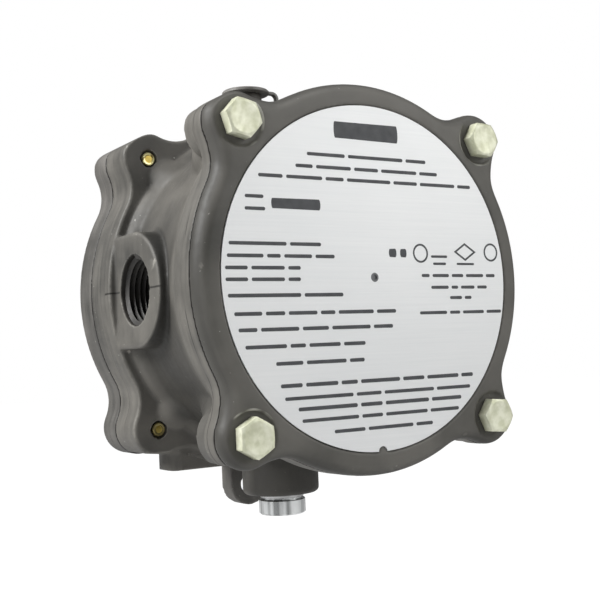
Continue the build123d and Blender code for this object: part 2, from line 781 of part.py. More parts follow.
# Snap switch with its plunger and screw terminals
def switch_body():
    half = switch_length / 2
    low_z, high_z = shelf_z, shelf_z + switch_t
    body = block(-half, half, switch_front_y, switch_back_y, low_z, high_z)
    body = fillet(body.edges().filter_by(Axis.Z), radius=switch_round)
    for column in (-0.5, 0.5):
        x = column * terminal_pitch
        body += block(x - barrier_t / 2, x + barrier_t / 2, barrier_front_y, switch_front_y,
                      low_z + barrier_margin, high_z - barrier_margin)
    body -= rod_y(plunger_r + fit_gap, switch_back_y - plunger_length, switch_back_y, 0, plunger_z)
    for side in (-1, 1):
        body -= rod_z(m4_r + m4_foot_gap, low_z, high_z, side * switch_hole_x, switch_mid_y)
    for column in (-1, 0, 1):
        body -= rod_y(terminal_screw_r + screw_gap, switch_front_y, switch_front_y + m4_hole_depth,
                      column * terminal_pitch, plunger_z)
    return body


def switch_plunger():
    tip_y = switch_back_y + plunger_show
    body = rod_y(plunger_r, tip_y - plunger_length, tip_y, 0, plunger_z)
    return fillet(body.edges().group_by(Axis.Y)[-1], radius=plunger_round)


def switch_terminal(column):
    x = column * terminal_pitch
    half = terminal_w / 2
    body = block(x - half, x + half, terminal_front_y, switch_front_y, plunger_z - half, plunger_z + half)
    return body - rod_y(terminal_screw_r + centre_hole_gap, terminal_front_y, switch_front_y, x, plunger_z)


def terminal_screw(column):
    return pan_screw_front(column * terminal_pitch, plunger_z, terminal_front_y, terminal_head_r, terminal_head_t,
                           terminal_screw_r, m4_grip, terminal_screw_turn * column)


def actuating_screw():
    tip_y = switch_back_y + plunger_show + contact_gap
    body = rod_y(actuating_screw_r, tip_y, rod_tip_y + actuating_screw_show, 0, plunger_z)
    body = fillet(body.edges().group_by(Axis.Y)[0], radius=0.8)
    return body - Pos(0, rod_tip_y + actuating_screw_show, plunger_z) * Box(
        2 * actuating_screw_r + 1, 2 * actuating_slot_depth, actuating_slot_w)


def actuating_nut():
    back_y = rod_tip_y - sheet_t
    six = Pos(0, plunger_z) * RegularPolygon(actuating_nut_flats / math.sqrt(3), 6)
    body = slab_y(six, back_y - actuating_nut_t, back_y)
    return body - rod_y(actuating_screw_r + set_gap, back_y - actuating_nut_t, back_y, 0, plunger_z)


# Set point adjuster: bushing, captive screw, clip, spring nut and range spring
def adjuster_bushing():
    top_z = adjuster_top_z - adjuster_pocket_depth
    body = rod_z(adjuster_bushing_r - set_gap, ceiling_flat_z, top_z - adjuster_bushing_drop,
                 adjuster_x, adjuster_y)
    return body - rod_z(adjuster_shaft_r + fit_gap, ceiling_flat_z, top_z, adjuster_x, adjuster_y)


def set_point_screw():
    seat_z = adjuster_top_z - adjuster_pocket_depth - adjuster_bushing_drop + adjuster_end_play
    head = rod_z(adjuster_head_r, seat_z, seat_z + adjuster_head_t, adjuster_x, adjuster_y)
    head = chamfer(head.edges().group_by(Axis.Z)[-1], length=0.4)
    head -= Pos(adjuster_x, adjuster_y, seat_z + adjuster_head_t) * Box(
        2 * adjuster_head_r + 1, adjuster_slot_w, 2 * adjuster_slot_depth)
    body = head + rod_z(adjuster_shaft_r, thread_end_z, seat_z, adjuster_x, adjuster_y)
    body = chamfer(body.edges().group_by(Axis.Z)[0], length=adjuster_tip_chamfer)
    groove = rod_z(adjuster_shaft_r + 1, clip_low_z, clip_low_z + clip_t, adjuster_x, adjuster_y)
    groove -= rod_z(adjuster_shaft_r - clip_groove, clip_low_z, clip_low_z + clip_t, adjuster_x, adjuster_y)
    return body - groove


def screw_clip():
    clip_high_z = clip_low_z + clip_t
    body = rod_z(adjuster_bushing_r, clip_low_z + clip_side_gap, clip_high_z - clip_side_gap, adjuster_x, adjuster_y)
    body -= rod_z(adjuster_shaft_r - clip_groove + screw_gap, clip_low_z, clip_high_z, adjuster_x, adjuster_y)
    gap = block(adjuster_x + 1, adjuster_x + 1 + adjuster_bushing_r, adjuster_y - clip_mouth,
                adjuster_y + clip_mouth, clip_low_z, clip_high_z)
    return body - gap


def spring_nut():
    low_z = nut_top_z - nut_t
    body = rod_z(nut_r, low_z, nut_top_z, adjuster_x, adjuster_y)
    body -= block(adjuster_x - nut_r, adjuster_x + nut_r, adjuster_y + nut_flat, adjuster_y + nut_r + 1,
                  low_z, nut_top_z)
    return body - rod_z(adjuster_shaft_r + fit_gap, low_z, nut_top_z, adjuster_x, adjuster_y)


def range_spring():
    # a helix between two closed end rings
    low_z = lever_top_z + spring_seat_gap
    high_z = nut_top_z - nut_t - spring_seat_gap
    rise = high_z - low_z - 2 * spring_wire_r
    path = Helix(rise / spring_turns, rise, spring_r)
    start = path @ 0
    section = Plane(origin=start, z_dir=path % 0) * Circle(spring_wire_r)
    coil = sweep(section, path=path, is_frenet=True)
    ring = Torus(spring_r, spring_wire_r)
    spring = coil + ring + Pos(0, 0, rise) * ring
    return Pos(adjuster_x, adjuster_y, low_z + spring_wire_r) * spring


# Swing cover: a round lid with a bent arm that turns on a screw
def adjuster_lid():
    lid_low_z = adjuster_top_z + lid_gap
    top_z = lid_low_z + lid_t
    lid = rod_z(lid_r, lid_low_z, top_z, adjuster_x, adjuster_y)
    lid = fillet(lid.edges().group_by(Axis.Z)[-1], radius=lid_edge_round)
    drop_x = adjuster_x + arm_drop_x
    foot_low_z = lid_pad_z + lid_swing_gap
    inner_r = arm_bend_r - arm_t
    outer = FilletPolyline(
        (adjuster_x, top_z), (drop_x, top_z), (drop_x, foot_low_z + arm_t), (lid_pivot_x, foot_low_z + arm_t),
        radius=[arm_bend_r, inner_r])
    inner = FilletPolyline(
        (lid_pivot_x, foot_low_z), (drop_x - arm_t, foot_low_z), (drop_x - arm_t, top_z - arm_t),
        (adjuster_x, top_z - arm_t), radius=[arm_bend_r, inner_r])
    ends = [Line(outer @ 1, inner @ 0), Line(inner @ 1, outer @ 0)]
    side = Plane(origin=(0, adjuster_y + arm_width / 2, 0), x_dir=(1, 0, 0), z_dir=(0, -1, 0))
    arm = extrude(side * make_face(outer.edges() + inner.edges() + ends), amount=arm_width)
    arm -= rod_z(adjuster_top_r + arm_sweep_gap, lid_low_z - arm_bend_r, lid_low_z, adjuster_x, adjuster_y)
    foot = rod_z(lid_foot_r, foot_low_z, foot_low_z + arm_t, lid_pivot_x, adjuster_y)
    body = lid + arm + foot
    return body - rod_z(lid_screw_r + fit_gap, foot_low_z, foot_low_z + arm_t, lid_pivot_x, adjuster_y)


def lid_screw():
    seat_z = lid_pad_z + 2 * lid_swing_gap + arm_t + lid_washer_t
    length = seat_z - lid_pad_z + lid_screw_grip
    return pan_screw_top(lid_pivot_x, adjuster_y, seat_z, lid_screw_head_r, lid_screw_head_t, lid_screw_r, length)


def lid_washer():
    low_z = lid_pad_z + 2 * lid_swing_gap + arm_t
    body = rod_z(lid_screw_head_r + lid_washer_rim, low_z, low_z + lid_washer_t, lid_pivot_x, adjuster_y)
    return body - rod_z(lid_screw_r + fit_gap, low_z, low_z + lid_washer_t, lid_pivot_x, adjuster_y)


# Drain plug with its gasket
def drain_gasket():
    body = rod_z(gasket_r, drain_boss_z - gasket_t, drain_boss_z, 0, drain_y)
    return body - rod_z(drain_bore_r + diaphragm_seat_gap, drain_boss_z - gasket_t, drain_boss_z, 0, drain_y)


def drain_plug():
    z = drain_boss_z - gasket_t
    body = rod_z(drain_bore_r, z, plug_top_z, 0, drain_y)
    body += rod_z(plug_collar_r, z - plug_collar_t, z, 0, drain_y)
    z -= plug_collar_t
    body += rod_z(plug_collar_r - plug_groove_sink, z - plug_groove_t, z, 0, drain_y)
    z -= plug_groove_t
    head = rod_z(plug_head_r, z - plug_head_t, z, 0, drain_y)
    body += chamfer(head.edges().filter_by(GeomType.CIRCLE), length=plug_chamfer)
    slot = Pos(0, drain_y, z - plug_head_t) * Box(2 * plug_head_r + 1, plug_slot_w, 2 * plug_slot_depth)
    return body - slot - rod_z(vent_r, z - plug_head_t, plug_top_z, 0, drain_y)


save(main_housing(), "main_housing")
save(rear_cover(), "rear_cover")
save(front_cover(), "front_cover")
save(nameplate(), "nameplate")
save(cover_o_ring(), "cover_o_ring")
save(group([cover_bolt(x, z, turn) for (x, z), turn in zip(corners, bolt_turns)]), "cover_bolts")
save(group([rear_cover_screw(x, z) for x, z in corners]), "rear_cover_screws")
save(diaphragm(), "diaphragm")
save(diaphragm_plate(joint_y - plate_disc_t), "diaphragm_front_plate")
save(diaphragm_plate(joint_y + diaphragm_t), "diaphragm_rear_plate")
save(push_rod(), "push_rod")
save(centre_screw(), "diaphragm_screw")
save(rod_bushing(), "rod_bushing")
save(switch_bracket(), "switch_bracket")
save(group([pan_screw_front(side * foot_screw_x, foot_screw_z, partition_front_y - bracket_t, m4_head_r, m4_head_t,
                            m4_r, bracket_t + m4_grip, foot_screw_turn * side) for side in (-1, 1)]), "bracket_screws")
save(lever(), "lever")
save(lever_pin(), "lever_pin")
save(group([pin_clip(side) for side in (-1, 1)]), "pin_clips")
save(actuating_screw(), "actuating_screw")
save(actuating_nut(), "actuating_nut")
save(switch_body(), "switch_body")
save(switch_plunger(), "switch_plunger")
save(group([switch_terminal(c) for c in (-1, 0, 1)]), "switch_terminals")
save(group([terminal_screw(c) for c in (-1, 0, 1)]), "terminal_screws")
save(group([pan_screw_top(side * switch_hole_x, switch_mid_y, shelf_z + switch_t, m4_head_r, m4_head_t, m4_r,
                          switch_t + bracket_t) for side in (-1, 1)]), "switch_screws")
save(adjuster_bushing(), "adjuster_bushing")
save(set_point_screw(), "set_point_screw")
save(screw_clip(), "screw_clip")
save(spring_nut(), "spring_nut")
save(range_spring(), "range_spring")
save(adjuster_lid(), "adjuster_lid")
save(lid_screw(), "lid_screw")
save(lid_washer(), "lid_washer")
save(drain_gasket(), "drain_gasket")
save(drain_plug(), "drain_plug")
save(pan_screw_front(ground_x, ground_z, partition_front_y, ground_head_r, ground_head_t, m4_r, m4_grip,
                     ground_screw_turn), "ground_screw")
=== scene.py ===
import bpy
import math
from mathutils import Matrix, Vector


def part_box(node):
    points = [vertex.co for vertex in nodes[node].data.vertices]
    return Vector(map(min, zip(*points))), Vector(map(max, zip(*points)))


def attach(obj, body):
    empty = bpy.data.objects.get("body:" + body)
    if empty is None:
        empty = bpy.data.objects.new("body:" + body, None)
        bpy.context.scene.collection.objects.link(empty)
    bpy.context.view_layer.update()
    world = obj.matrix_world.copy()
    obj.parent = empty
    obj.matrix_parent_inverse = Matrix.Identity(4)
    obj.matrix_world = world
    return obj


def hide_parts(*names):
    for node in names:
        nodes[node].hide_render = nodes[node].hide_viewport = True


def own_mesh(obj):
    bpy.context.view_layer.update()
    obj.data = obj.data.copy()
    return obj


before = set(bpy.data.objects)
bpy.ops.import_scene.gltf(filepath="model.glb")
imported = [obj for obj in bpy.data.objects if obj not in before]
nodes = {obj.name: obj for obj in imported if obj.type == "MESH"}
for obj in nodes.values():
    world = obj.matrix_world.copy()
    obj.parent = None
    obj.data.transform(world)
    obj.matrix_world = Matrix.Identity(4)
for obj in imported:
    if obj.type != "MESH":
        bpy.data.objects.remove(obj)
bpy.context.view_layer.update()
mm = 0.001

# places that several pieces share, in metres
boltAxis = 0.0433              # the four bolts stand at plus and minus this, across and up
hubAxis = -0.0413              # depth of the conduit hub's middle
drainAxis = -0.0290            # depth of the drain plug's middle
adjusterAxis = (-0.0093, -0.0323)
jointDepth = -0.0821           # where the front cover meets the housing
rearJointDepth = -0.0123       # where the rear cover meets it
corners = ((-1, -1), (-1, 1), (1, -1), (1, 1))


# shader maths: a wrapped socket that adds Math nodes as it is used in an expression
class Flow:
    def __init__(self, tree, socket):
        self.tree = tree
        self.socket = socket

    def math(self, operation, other=None, swap=False):
        node = self.tree.nodes.new("ShaderNodeMath")
        node.operation = operation
        first, second = (1, 0) if swap else (0, 1)
        self.tree.links.new(self.socket, node.inputs[first])
        if isinstance(other, Flow):
            self.tree.links.new(other.socket, node.inputs[second])
        elif other is not None:
            node.inputs[second].default_value = other
        return Flow(self.tree, node.outputs[0])

    def __add__(self, other): return self.math("ADD", other)
    def __radd__(self, other): return self.math("ADD", other)
    def __sub__(self, other): return self.math("SUBTRACT", other)
    def __rsub__(self, other): return self.math("SUBTRACT", other, swap=True)
    def __mul__(self, other): return self.math("MULTIPLY", other)
    def __rmul__(self, other): return self.math("MULTIPLY", other)
    def over(self, other): return self.math("GREATER_THAN", other)
    def size(self): return self.math("ABSOLUTE")
    def root(self): return self.math("SQRT")


class Shade:
    # one material, with a short way to add any node
    def __init__(self, name):
        self.material = bpy.data.materials.new(name)
        self.material.use_nodes = True
        self.tree = self.material.node_tree
        self.tree.nodes.clear()
        self.surface = self.tree.nodes.new("ShaderNodeBsdfPrincipled")
        self.out = self.tree.nodes.new("ShaderNodeOutputMaterial")
        self.tree.links.new(self.surface.outputs[0], self.out.inputs[0])
        coordinates = self.tree.nodes.new("ShaderNodeTexCoord")
        self.place = Flow(self.tree, coordinates.outputs["Object"])
        split = self.tree.nodes.new("ShaderNodeSeparateXYZ")
        self.tree.links.new(self.place.socket, split.inputs[0])
        self.x, self.y, self.z = (Flow(self.tree, split.outputs[i]) for i in range(3))

    def node(self, kind, output=0, settings=None, **sockets):
        # a socket is named as Blender names it, or by its number as i0, i1 and so on
        made = self.tree.nodes.new(kind)
        for key, value in (settings or {}).items():
            setattr(made, key, value)
        for key, value in sockets.items():
            numbered = key[0] == "i" and key[1:].isdigit()
            self.feed(made.inputs[int(key[1:]) if numbered else key], value)
        return Flow(self.tree, made.outputs[output])

    def feed(self, slot, value):
        if isinstance(value, Flow):
            self.tree.links.new(value.socket, slot)
        else:
            slot.default_value = value

    def noise(self, scale, detail=2.0, stretch=None):
        vector = self.place
        if stretch:
            vector = self.node("ShaderNodeMapping", i0=self.place, i3=stretch)
        return self.node("ShaderNodeTexNoise", output="Fac", Vector=vector, Scale=scale, Detail=detail,
                         Roughness=0.5)

    def mix(self, factor, first, second):
        return self.node("ShaderNodeMix", output=2, settings={"data_type": "RGBA"},
                         i0=factor, i6=first, i7=second)

    def range(self, value, low, high, outLow, outHigh):
        return self.node("ShaderNodeMapRange", settings={"clamp": True},
                         i0=value, i1=low, i2=high, i3=outLow, i4=outHigh)

    def bump(self, height, distance, strength=1.0):
        return self.node("ShaderNodeBump", Height=height, Distance=distance, Strength=strength)

    def reach(self, first, second):
        # how far a point lies from an axis, from its distances along the two other ways
        return (first * first + second * second).root()

    def set(self, **sockets):
        for key, value in sockets.items():
            self.feed(self.surface.inputs[key.replace("_", " ")], value)
        return self.material


def rgb(r, g, b):
    # a screen colour, 0 to 255, as the shader's linear colour
    def line(v):
        v /= 255
        return v / 12.92 if v <= 0.04045 else ((v + 0.055) / 1.055) ** 2.4
    return (line(r), line(g), line(b), 1)


# painted castings; each seam is a dark line round the sides: depth, wander, half width, strength
frontJoint = (jointDepth, 0.0, 0.00028, 0.9)
rearJoint = (rearJointDepth, 0.0, 0.00045, 0.9)
castLook = {
    "housing": {"dark": rgb(65, 64, 61), "light": rgb(112, 109, 103), "rough": 0.56, "edgeWearAndHighlight": 0.75,
                "seams": (frontJoint, rearJoint,
                          (-0.0783, 0.0030, 0.00015, 0.85), (-0.0200, 0.0040, 0.00012, 0.5))},
    "cover": {"dark": rgb(68, 67, 63), "light": rgb(102, 100, 95), "rough": 0.54, "edgeWearAndHighlight": 0.3,
              "seams": (frontJoint,)},
    "rear": {"dark": rgb(67, 66, 63), "light": rgb(112, 109, 105), "rough": 0.56, "edgeWearAndHighlight": 0.6,
             "seams": (rearJoint, (-0.0070, 0.0030, 0.00012, 0.5))},
}
# colours of the marks on the castings: rubbed edges with a painted highlight, painted shade in recesses and
# on shaded faces, a painted highlight, seams, flecks and bare metal
castMarksAndPaintedLight = {
    "edge": rgb(150, 147, 140), "recessShade": rgb(36, 34, 31), "seam": rgb(24, 22, 20), "paintedShade": rgb(44, 43, 40),
    "paintedHighlight": rgb(128, 126, 121), "fleck": rgb(176, 174, 168), "bare": rgb(206, 205, 198),
    # the edge's rubbed paint and painted highlight are left off beside a joint
    "jointClear": (0.0008, 0.0016),    # no rubbed edge beside a joint
    "seamFrom": 0.0503,                # seams show outside the barrel only
}
streakLook = {"middle": -0.051, "reach": (0.021, 0.025), "strength": (0.06, 0.22)}


def addSeams(shade, colour, seams):
    outside = shade.reach(shade.x, shade.z).over(castMarksAndPaintedLight["seamFrom"])
    for depth, wander, half, strength in seams:
        away = (shade.y - depth - (shade.noise(14, 2) - 0.5) * wander).size()
        near = shade.range(away, half * 0.7, half * 1.4, strength, 0.0)
        broken = shade.range(shade.noise(55, 2), 0.44, 0.52, 1.0 if wander == 0 else 0.0, 1.0)
        colour = shade.mix(near * broken * outside, colour, castMarksAndPaintedLight["seam"])
    return colour


def castFinish(name, look, extra=None):
    # cloudy tone, streaks round the flanges, edges lighter from rubbed paint and a painted highlight,
    # painted shade in the corners, seams and flecks
    shade = Shade(name)
    cloud = shade.noise(26, 3)
    streak = shade.noise(330, 3, stretch=(0.16, 1.5, 0.16))
    patch = shade.noise(75, 4)
    grain = shade.noise(620, 3)
    fromMiddle = (shade.y - streakLook["middle"]).size()
    flanks = shade.range(fromMiddle, *streakLook["reach"], *streakLook["strength"])
    tone = (cloud - 0.5) * 0.55 + (streak - 0.5) * flanks + (patch - 0.5) * 0.3
    colour = shade.mix(shade.range(tone, -0.12, 0.12, 0.0, 1.0), look["dark"], look["light"])
    point = shade.node("ShaderNodeNewGeometry", output="Pointiness")
    # edges lighter: rubbed paint together with a painted highlight
    edgeBreakup = shade.range(patch * 0.5 + grain * 0.5, 0.42, 0.56, 0.25, 1.0)
    wornAndLitEdge = shade.range(point, 0.515, 0.57, 0.0, look["edgeWearAndHighlight"]) * edgeBreakup
    for depth, wander, half, strength in look["seams"]:
        if wander == 0:
            wornAndLitEdge = wornAndLitEdge * shade.range((shade.y - depth).size(), *castMarksAndPaintedLight["jointClear"], 0.0, 1.0)
    colour = shade.mix(wornAndLitEdge, colour, castMarksAndPaintedLight["edge"])
    # painted shade in hollows and creases
    deep = shade.range(point, 0.492, 0.455, 0.0, 0.4) * shade.range(patch, 0.35, 0.6, 0.5, 1.0)
    colour = shade.mix(deep, colour, castMarksAndPaintedLight["recessShade"])
    colour = addSeams(shade, colour, look["seams"])
    fleck = shade.range(shade.noise(800, 1), 0.775, 0.80, 0.0, 0.6)
    colour = shade.mix(fleck, colour, castMarksAndPaintedLight["fleck"])
    if extra:
        colour = extra(shade, colour)
    rough = shade.range(streak * 0.4 + patch * 0.3 + grain * 0.3, 0.36, 0.64,
                        look["rough"] - 0.1, look["rough"] + 0.1)
    normal = shade.bump(grain * 0.55 + streak * 0.25 + patch * 0.2, 0.00014, 0.5)
    return shade.set(Base_Color=colour, Roughness=rough, Normal=normal, Metallic=0.0,
                     Specular_IOR_Level=0.32)


# painted shade on the barrel, on the conduit hub's wall and in its bore, and a fine slit on the hub; each
# pair is where a fade starts and ends
barrelShade = {"front": (-0.0690, -0.0600), "back": (-0.0330, -0.0290), "rise": (0.0, 0.030),
               "amount": (0.72, 0.34), "drift": 0.03, "side": (-0.0545, -0.0530)}
hubWallShade = {"wallIn": (0.0167, 0.0172), "wallOut": (0.0186, 0.0196), "towardsFront": (-0.0080, -0.0010),
            "side": (-0.0558, -0.0553), "root": (-0.0440, -0.0410), "amount": 0.95}
hubSlit = {"half": (0.00018, 0.00036), "drift": 0.001, "side": (-0.0548, -0.0544),
           "from": (0.0112, 0.0114), "to": (0.0172, 0.0178), "amount": 0.85}
hubBoreShade = {"edge": (0.0110, 0.0114), "side": (-0.0558, -0.0555), "end": (-0.041, -0.040), "amount": 0.85}


def housingShadeAndSlit(shade, colour):
    # painted shade low on the barrel, on the hub's wall and inside the hub's bore, with a fine dark slit on
    # the hub
    # painted shade, darker towards the bottom of the barrel
    belly = shade.range(shade.y, *barrelShade["front"], 0.0, 1.0)
    belly = belly * shade.range(shade.y, *barrelShade["back"], 1.0, 0.0)
    height = shade.z + (shade.noise(20, 2) - 0.5) * barrelShade["drift"]
    low = shade.range(height, *barrelShade["rise"], *barrelShade["amount"])
    low = low * shade.range(shade.x, *barrelShade["side"], 0.0, 1.0)
    colour = shade.mix(belly * low, colour, castMarksAndPaintedLight["paintedShade"])
    depth = shade.y - hubAxis
    fromHub = shade.reach(depth, shade.z)
    # painted shade on the hub's wall
    wall = shade.range(fromHub, *hubWallShade["wallIn"], 0.0, 1.0)
    wall = wall * shade.range(fromHub, *hubWallShade["wallOut"], 1.0, 0.0)
    wall = wall * shade.range(depth, *hubWallShade["towardsFront"], hubWallShade["amount"], 0.0)
    wall = wall * shade.range(shade.x, *hubWallShade["side"], 0.0, 1.0)
    wall = wall * shade.range(shade.x, *hubWallShade["root"], 1.0, 0.0)
    colour = shade.mix(wall, colour, castMarksAndPaintedLight["paintedShade"])
    drift = (shade.noise(120, 1) - 0.5) * hubSlit["drift"]
    slit = shade.range((shade.z + drift).size(), *hubSlit["half"], hubSlit["amount"], 0.0)
    slit = slit * shade.range(shade.x, *hubSlit["side"], 1.0, 0.0)
    slit = slit * shade.range(depth.size(), *hubSlit["from"], 0.0, 1.0)
    slit = slit * shade.range(depth.size(), *hubSlit["to"], 1.0, 0.0)
    colour = shade.mix(slit, colour, castMarksAndPaintedLight["seam"])
    # painted shade inside the hub's bore
    boreShade = shade.range(fromHub, *hubBoreShade["edge"], hubBoreShade["amount"], 0.0)
    boreShade = boreShade * shade.range(shade.x, *hubBoreShade["side"], 0.0, 1.0)
    boreShade = boreShade * shade.range(shade.x, *hubBoreShade["end"], 1.0, 0.0)
    return shade.mix(boreShade, colour, castMarksAndPaintedLight["recessShade"])


# the cover's painted highlight and painted side shade, and the bare rings at its spot faces
coverWearAndPaintedLight = {"paintedHighlight": (0.018, 0.056), "paintedHighlightAmount": 0.42, "side": (-0.0874, -0.0858), "sideShadeAmount": 0.6,
             "spotRadius": 0.0076, "spotHalf": (0.0002, 0.0004), "front": (-0.0868, -0.0872),
             "bareAmount": 0.6}


def coverFinish(shade, colour):
    # painted highlight towards the top, painted shade down the sides, with a bare ring round each spot face
    # painted highlight towards the top
    paintedHighlight = shade.range(shade.z, *coverWearAndPaintedLight["paintedHighlight"], 0.0, coverWearAndPaintedLight["paintedHighlightAmount"])
    colour = shade.mix(paintedHighlight, colour, castMarksAndPaintedLight["paintedHighlight"])
    # painted shade down the sides
    side = shade.range(shade.y, *coverWearAndPaintedLight["side"], 0.0, coverWearAndPaintedLight["sideShadeAmount"])
    colour = shade.mix(side, colour, castMarksAndPaintedLight["paintedShade"])
    fromBolt = shade.reach(shade.x.size() - boltAxis, shade.z.size() - boltAxis)
    ring = shade.range((fromBolt - coverWearAndPaintedLight["spotRadius"]).size(), *coverWearAndPaintedLight["spotHalf"], 1.0, 0.0)
    front = shade.range(shade.y, *coverWearAndPaintedLight["front"], 0.0, 1.0)
    broken = shade.range(shade.noise(85, 2), 0.5, 0.6, 0.0, coverWearAndPaintedLight["bareAmount"])
    return shade.mix(ring * front * broken, colour, castMarksAndPaintedLight["bare"])


castHousing = castFinish("castHousing", castLook["housing"], housingShadeAndSlit)
castCover = castFinish("castCover", castLook["cover"], coverFinish)
castRear = castFinish("castRear", castLook["rear"])

plateLook = {"low": rgb(222, 224, 225), "high": rgb(233, 234, 234), "hole": rgb(98, 100, 102),
             "holeRadius": 0.0013, "holeEdge": 0.00012, "rough": (0.38, 0.5), "metallic": 0.2}


def plateFinish(look):
    # pale satin metal, brushed across, with a dark pin hole at its centre
    shade = Shade("plateMetal")
    brush = shade.noise(26, 4, stretch=(1.0, 1.0, 60.0))
    fine = shade.noise(80, 3, stretch=(1.0, 1.0, 80.0))
    cloud = shade.noise(22, 2)
    tone = shade.range(brush * 0.35 + fine * 0.3 + cloud * 0.35, 0.3, 0.7, 0.0, 1.0)
    colour = shade.mix(tone, look["low"], look["high"])
    fromCentre = shade.reach(shade.x, shade.z)
    hole = shade.range(fromCentre, look["holeRadius"], look["holeRadius"] + look["holeEdge"], 1.0, 0.0)
    colour = shade.mix(hole, colour, look["hole"])
    rough = shade.range(fine, 0.3, 0.7, *look["rough"])
    normal = shade.bump(fine, 0.00002, 0.25)
    return shade.set(Base_Color=colour, Roughness=rough, Normal=normal, Metallic=look["metallic"])


def metalFinish(name, low, high, rough, metallic=1.0, grain=300, bump=0.00003):
    # mottled between two tones, with painted shade in its corners
    shade = Shade(name)
    cloud = shade.noise(grain, 3)
    point = shade.node("ShaderNodeNewGeometry", output="Pointiness")
    colour = shade.mix(shade.range(cloud, 0.3, 0.7, 0.0, 1.0), low, high)
    # a darker tone painted into the corners as shade
    darkerTone = tuple(v * 0.45 for v in low[:3]) + (1,)
    colour = shade.mix(shade.range(point, 0.49, 0.44, 0.0, 0.7), colour, darkerTone)
    roughness = shade.range(shade.noise(grain * 2.5, 2), 0.3, 0.7, rough - 0.06, rough + 0.06)
    return shade.set(Base_Color=colour, Roughness=roughness, Metallic=metallic,
                     Normal=shade.bump(shade.noise(grain * 3, 2), bump, 0.5))


def plainFinish(name, low, high, rough):
    return metalFinish(name, low, high, rough, metallic=0.0, grain=250, bump=0.00004)


zincLook = {"low": rgb(203, 205, 177), "high": rgb(232, 233, 212), "stain": rgb(166, 168, 136),
            "rim": rgb(128, 128, 104), "rimDepth": (-0.0895, -0.0872), "rough": (0.42, 0.56),
            "metallic": 0.35}


def zincFinish(name, look):
    # yellowed zinc plating: mottled and stained, and darker in patches where the head meets the cover
    shade = Shade(name)
    cloud = shade.noise(330, 3)
    stain = shade.noise(150, 3)
    colour = shade.mix(shade.range(cloud, 0.35, 0.65, 0.0, 1.0), look["low"], look["high"])
    colour = shade.mix(shade.range(stain, 0.54, 0.68, 0.0, 0.5), colour, look["stain"])
    rim = shade.range(shade.y, *look["rimDepth"], 0.0, 0.65) * shade.range(stain, 0.35, 0.6, 0.4, 1.0)
    colour = shade.mix(rim, colour, look["rim"])
    rough = shade.range(shade.noise(800, 2), 0.3, 0.7, *look["rough"])
    return shade.set(Base_Color=colour, Roughness=rough, Metallic=look["metallic"],
                     Normal=shade.bump(cloud, 0.00006, 0.5))


plugReflectionBands = {"dark": rgb(140, 142, 142), "bright": rgb(236, 238, 238), "rough": (0.24, 0.34),
             "metallic": 0.85}


def plugFinish(name, look):
    # bright turned metal, with painted reflections in bands up and down its rim
    shade = Shade(name)
    # painted reflections: bands of light and dark up and down the rim
    reflectionBand = shade.noise(360, 1, stretch=(1.0, 1.0, 0.02))
    colour = shade.mix(shade.range(reflectionBand, 0.42, 0.58, 0.0, 1.0), look["dark"], look["bright"])
    rough = shade.range(reflectionBand, 0.3, 0.7, *look["rough"])
    return shade.set(Base_Color=colour, Roughness=rough, Metallic=look["metallic"])


tipColours = {"bright": (rgb(182, 156, 74), rgb(240, 232, 172)),
              "darkerTone": (rgb(88, 78, 46), rgb(150, 138, 92)), "pit": rgb(112, 90, 34),
              "rim": (0.0015, 0.0017), "rough": (0.26, 0.42), "metallic": 0.7}


def tipFinish(name, look):
    # yellow plated screw ends, the upper ones bright and the lower ones darker
    shade = Shade(name)
    cloud = shade.noise(700, 3)
    upper = shade.range(shade.z, -0.01, 0.01, 0.0, 1.0)
    fromScrew = shade.reach(shade.x.size() - boltAxis, shade.z.size() - boltAxis)
    rim = shade.range(fromScrew + cloud * 0.0006, *look["rim"], 0.0, 1.0)
    darkerTone = shade.mix(rim, *look["darkerTone"])
    bright = shade.mix(rim, *look["bright"])
    bright = shade.mix(shade.range(shade.noise(900, 1), 0.52, 0.6, 0.0, 0.8), bright, look["pit"])
    rough = shade.range(cloud, 0.3, 0.7, *look["rough"])
    return shade.set(Base_Color=shade.mix(upper, darkerTone, bright), Roughness=rough, Metallic=look["metallic"],
                     Normal=shade.bump(cloud, 0.00008, 0.6))


plateMetal = plateFinish(plateLook)
boltZinc = zincFinish("boltZinc", zincLook)
screwYellow = metalFinish("screwYellow", rgb(176, 152, 74), rgb(222, 200, 118), 0.34)
screwTip = tipFinish("screwTip", tipColours)
plugBright = plugFinish("plugBright", plugReflectionBands)
gasketMetal = metalFinish("gasketMetal", rgb(170, 171, 171), rgb(206, 206, 206), 0.3, grain=60)
sealRubber = plainFinish("sealRubber", rgb(26, 26, 27), rgb(38, 38, 38), 0.62)
plateAluminium = metalFinish("plateAluminium", rgb(178, 180, 182), rgb(204, 205, 207), 0.38)
steelZinc = metalFinish("steelZinc", rgb(168, 170, 172), rgb(200, 202, 203), 0.34)
brassTurned = metalFinish("brassTurned", rgb(178, 146, 78), rgb(212, 182, 108), 0.30)
switchMoulding = plainFinish("switchMoulding", rgb(52, 32, 24), rgb(66, 42, 31), 0.36)
plungerMoulding = plainFinish("plungerMoulding", rgb(176, 44, 36), rgb(196, 58, 46), 0.38)
lidMoulding = plainFinish("lidMoulding", rgb(98, 96, 92), rgb(134, 132, 128), 0.42)
groundGreen = plainFinish("groundGreen", rgb(34, 104, 52), rgb(48, 128, 66), 0.38)
printInk = plainFinish("printInk", rgb(58, 60, 63), rgb(70, 72, 75), 0.55)
# the threads are the casting's colour darkened: painted shade inside the bores
shadedThread = plainFinish("shadedThread", rgb(34, 32, 30), rgb(54, 52, 48), 0.62)

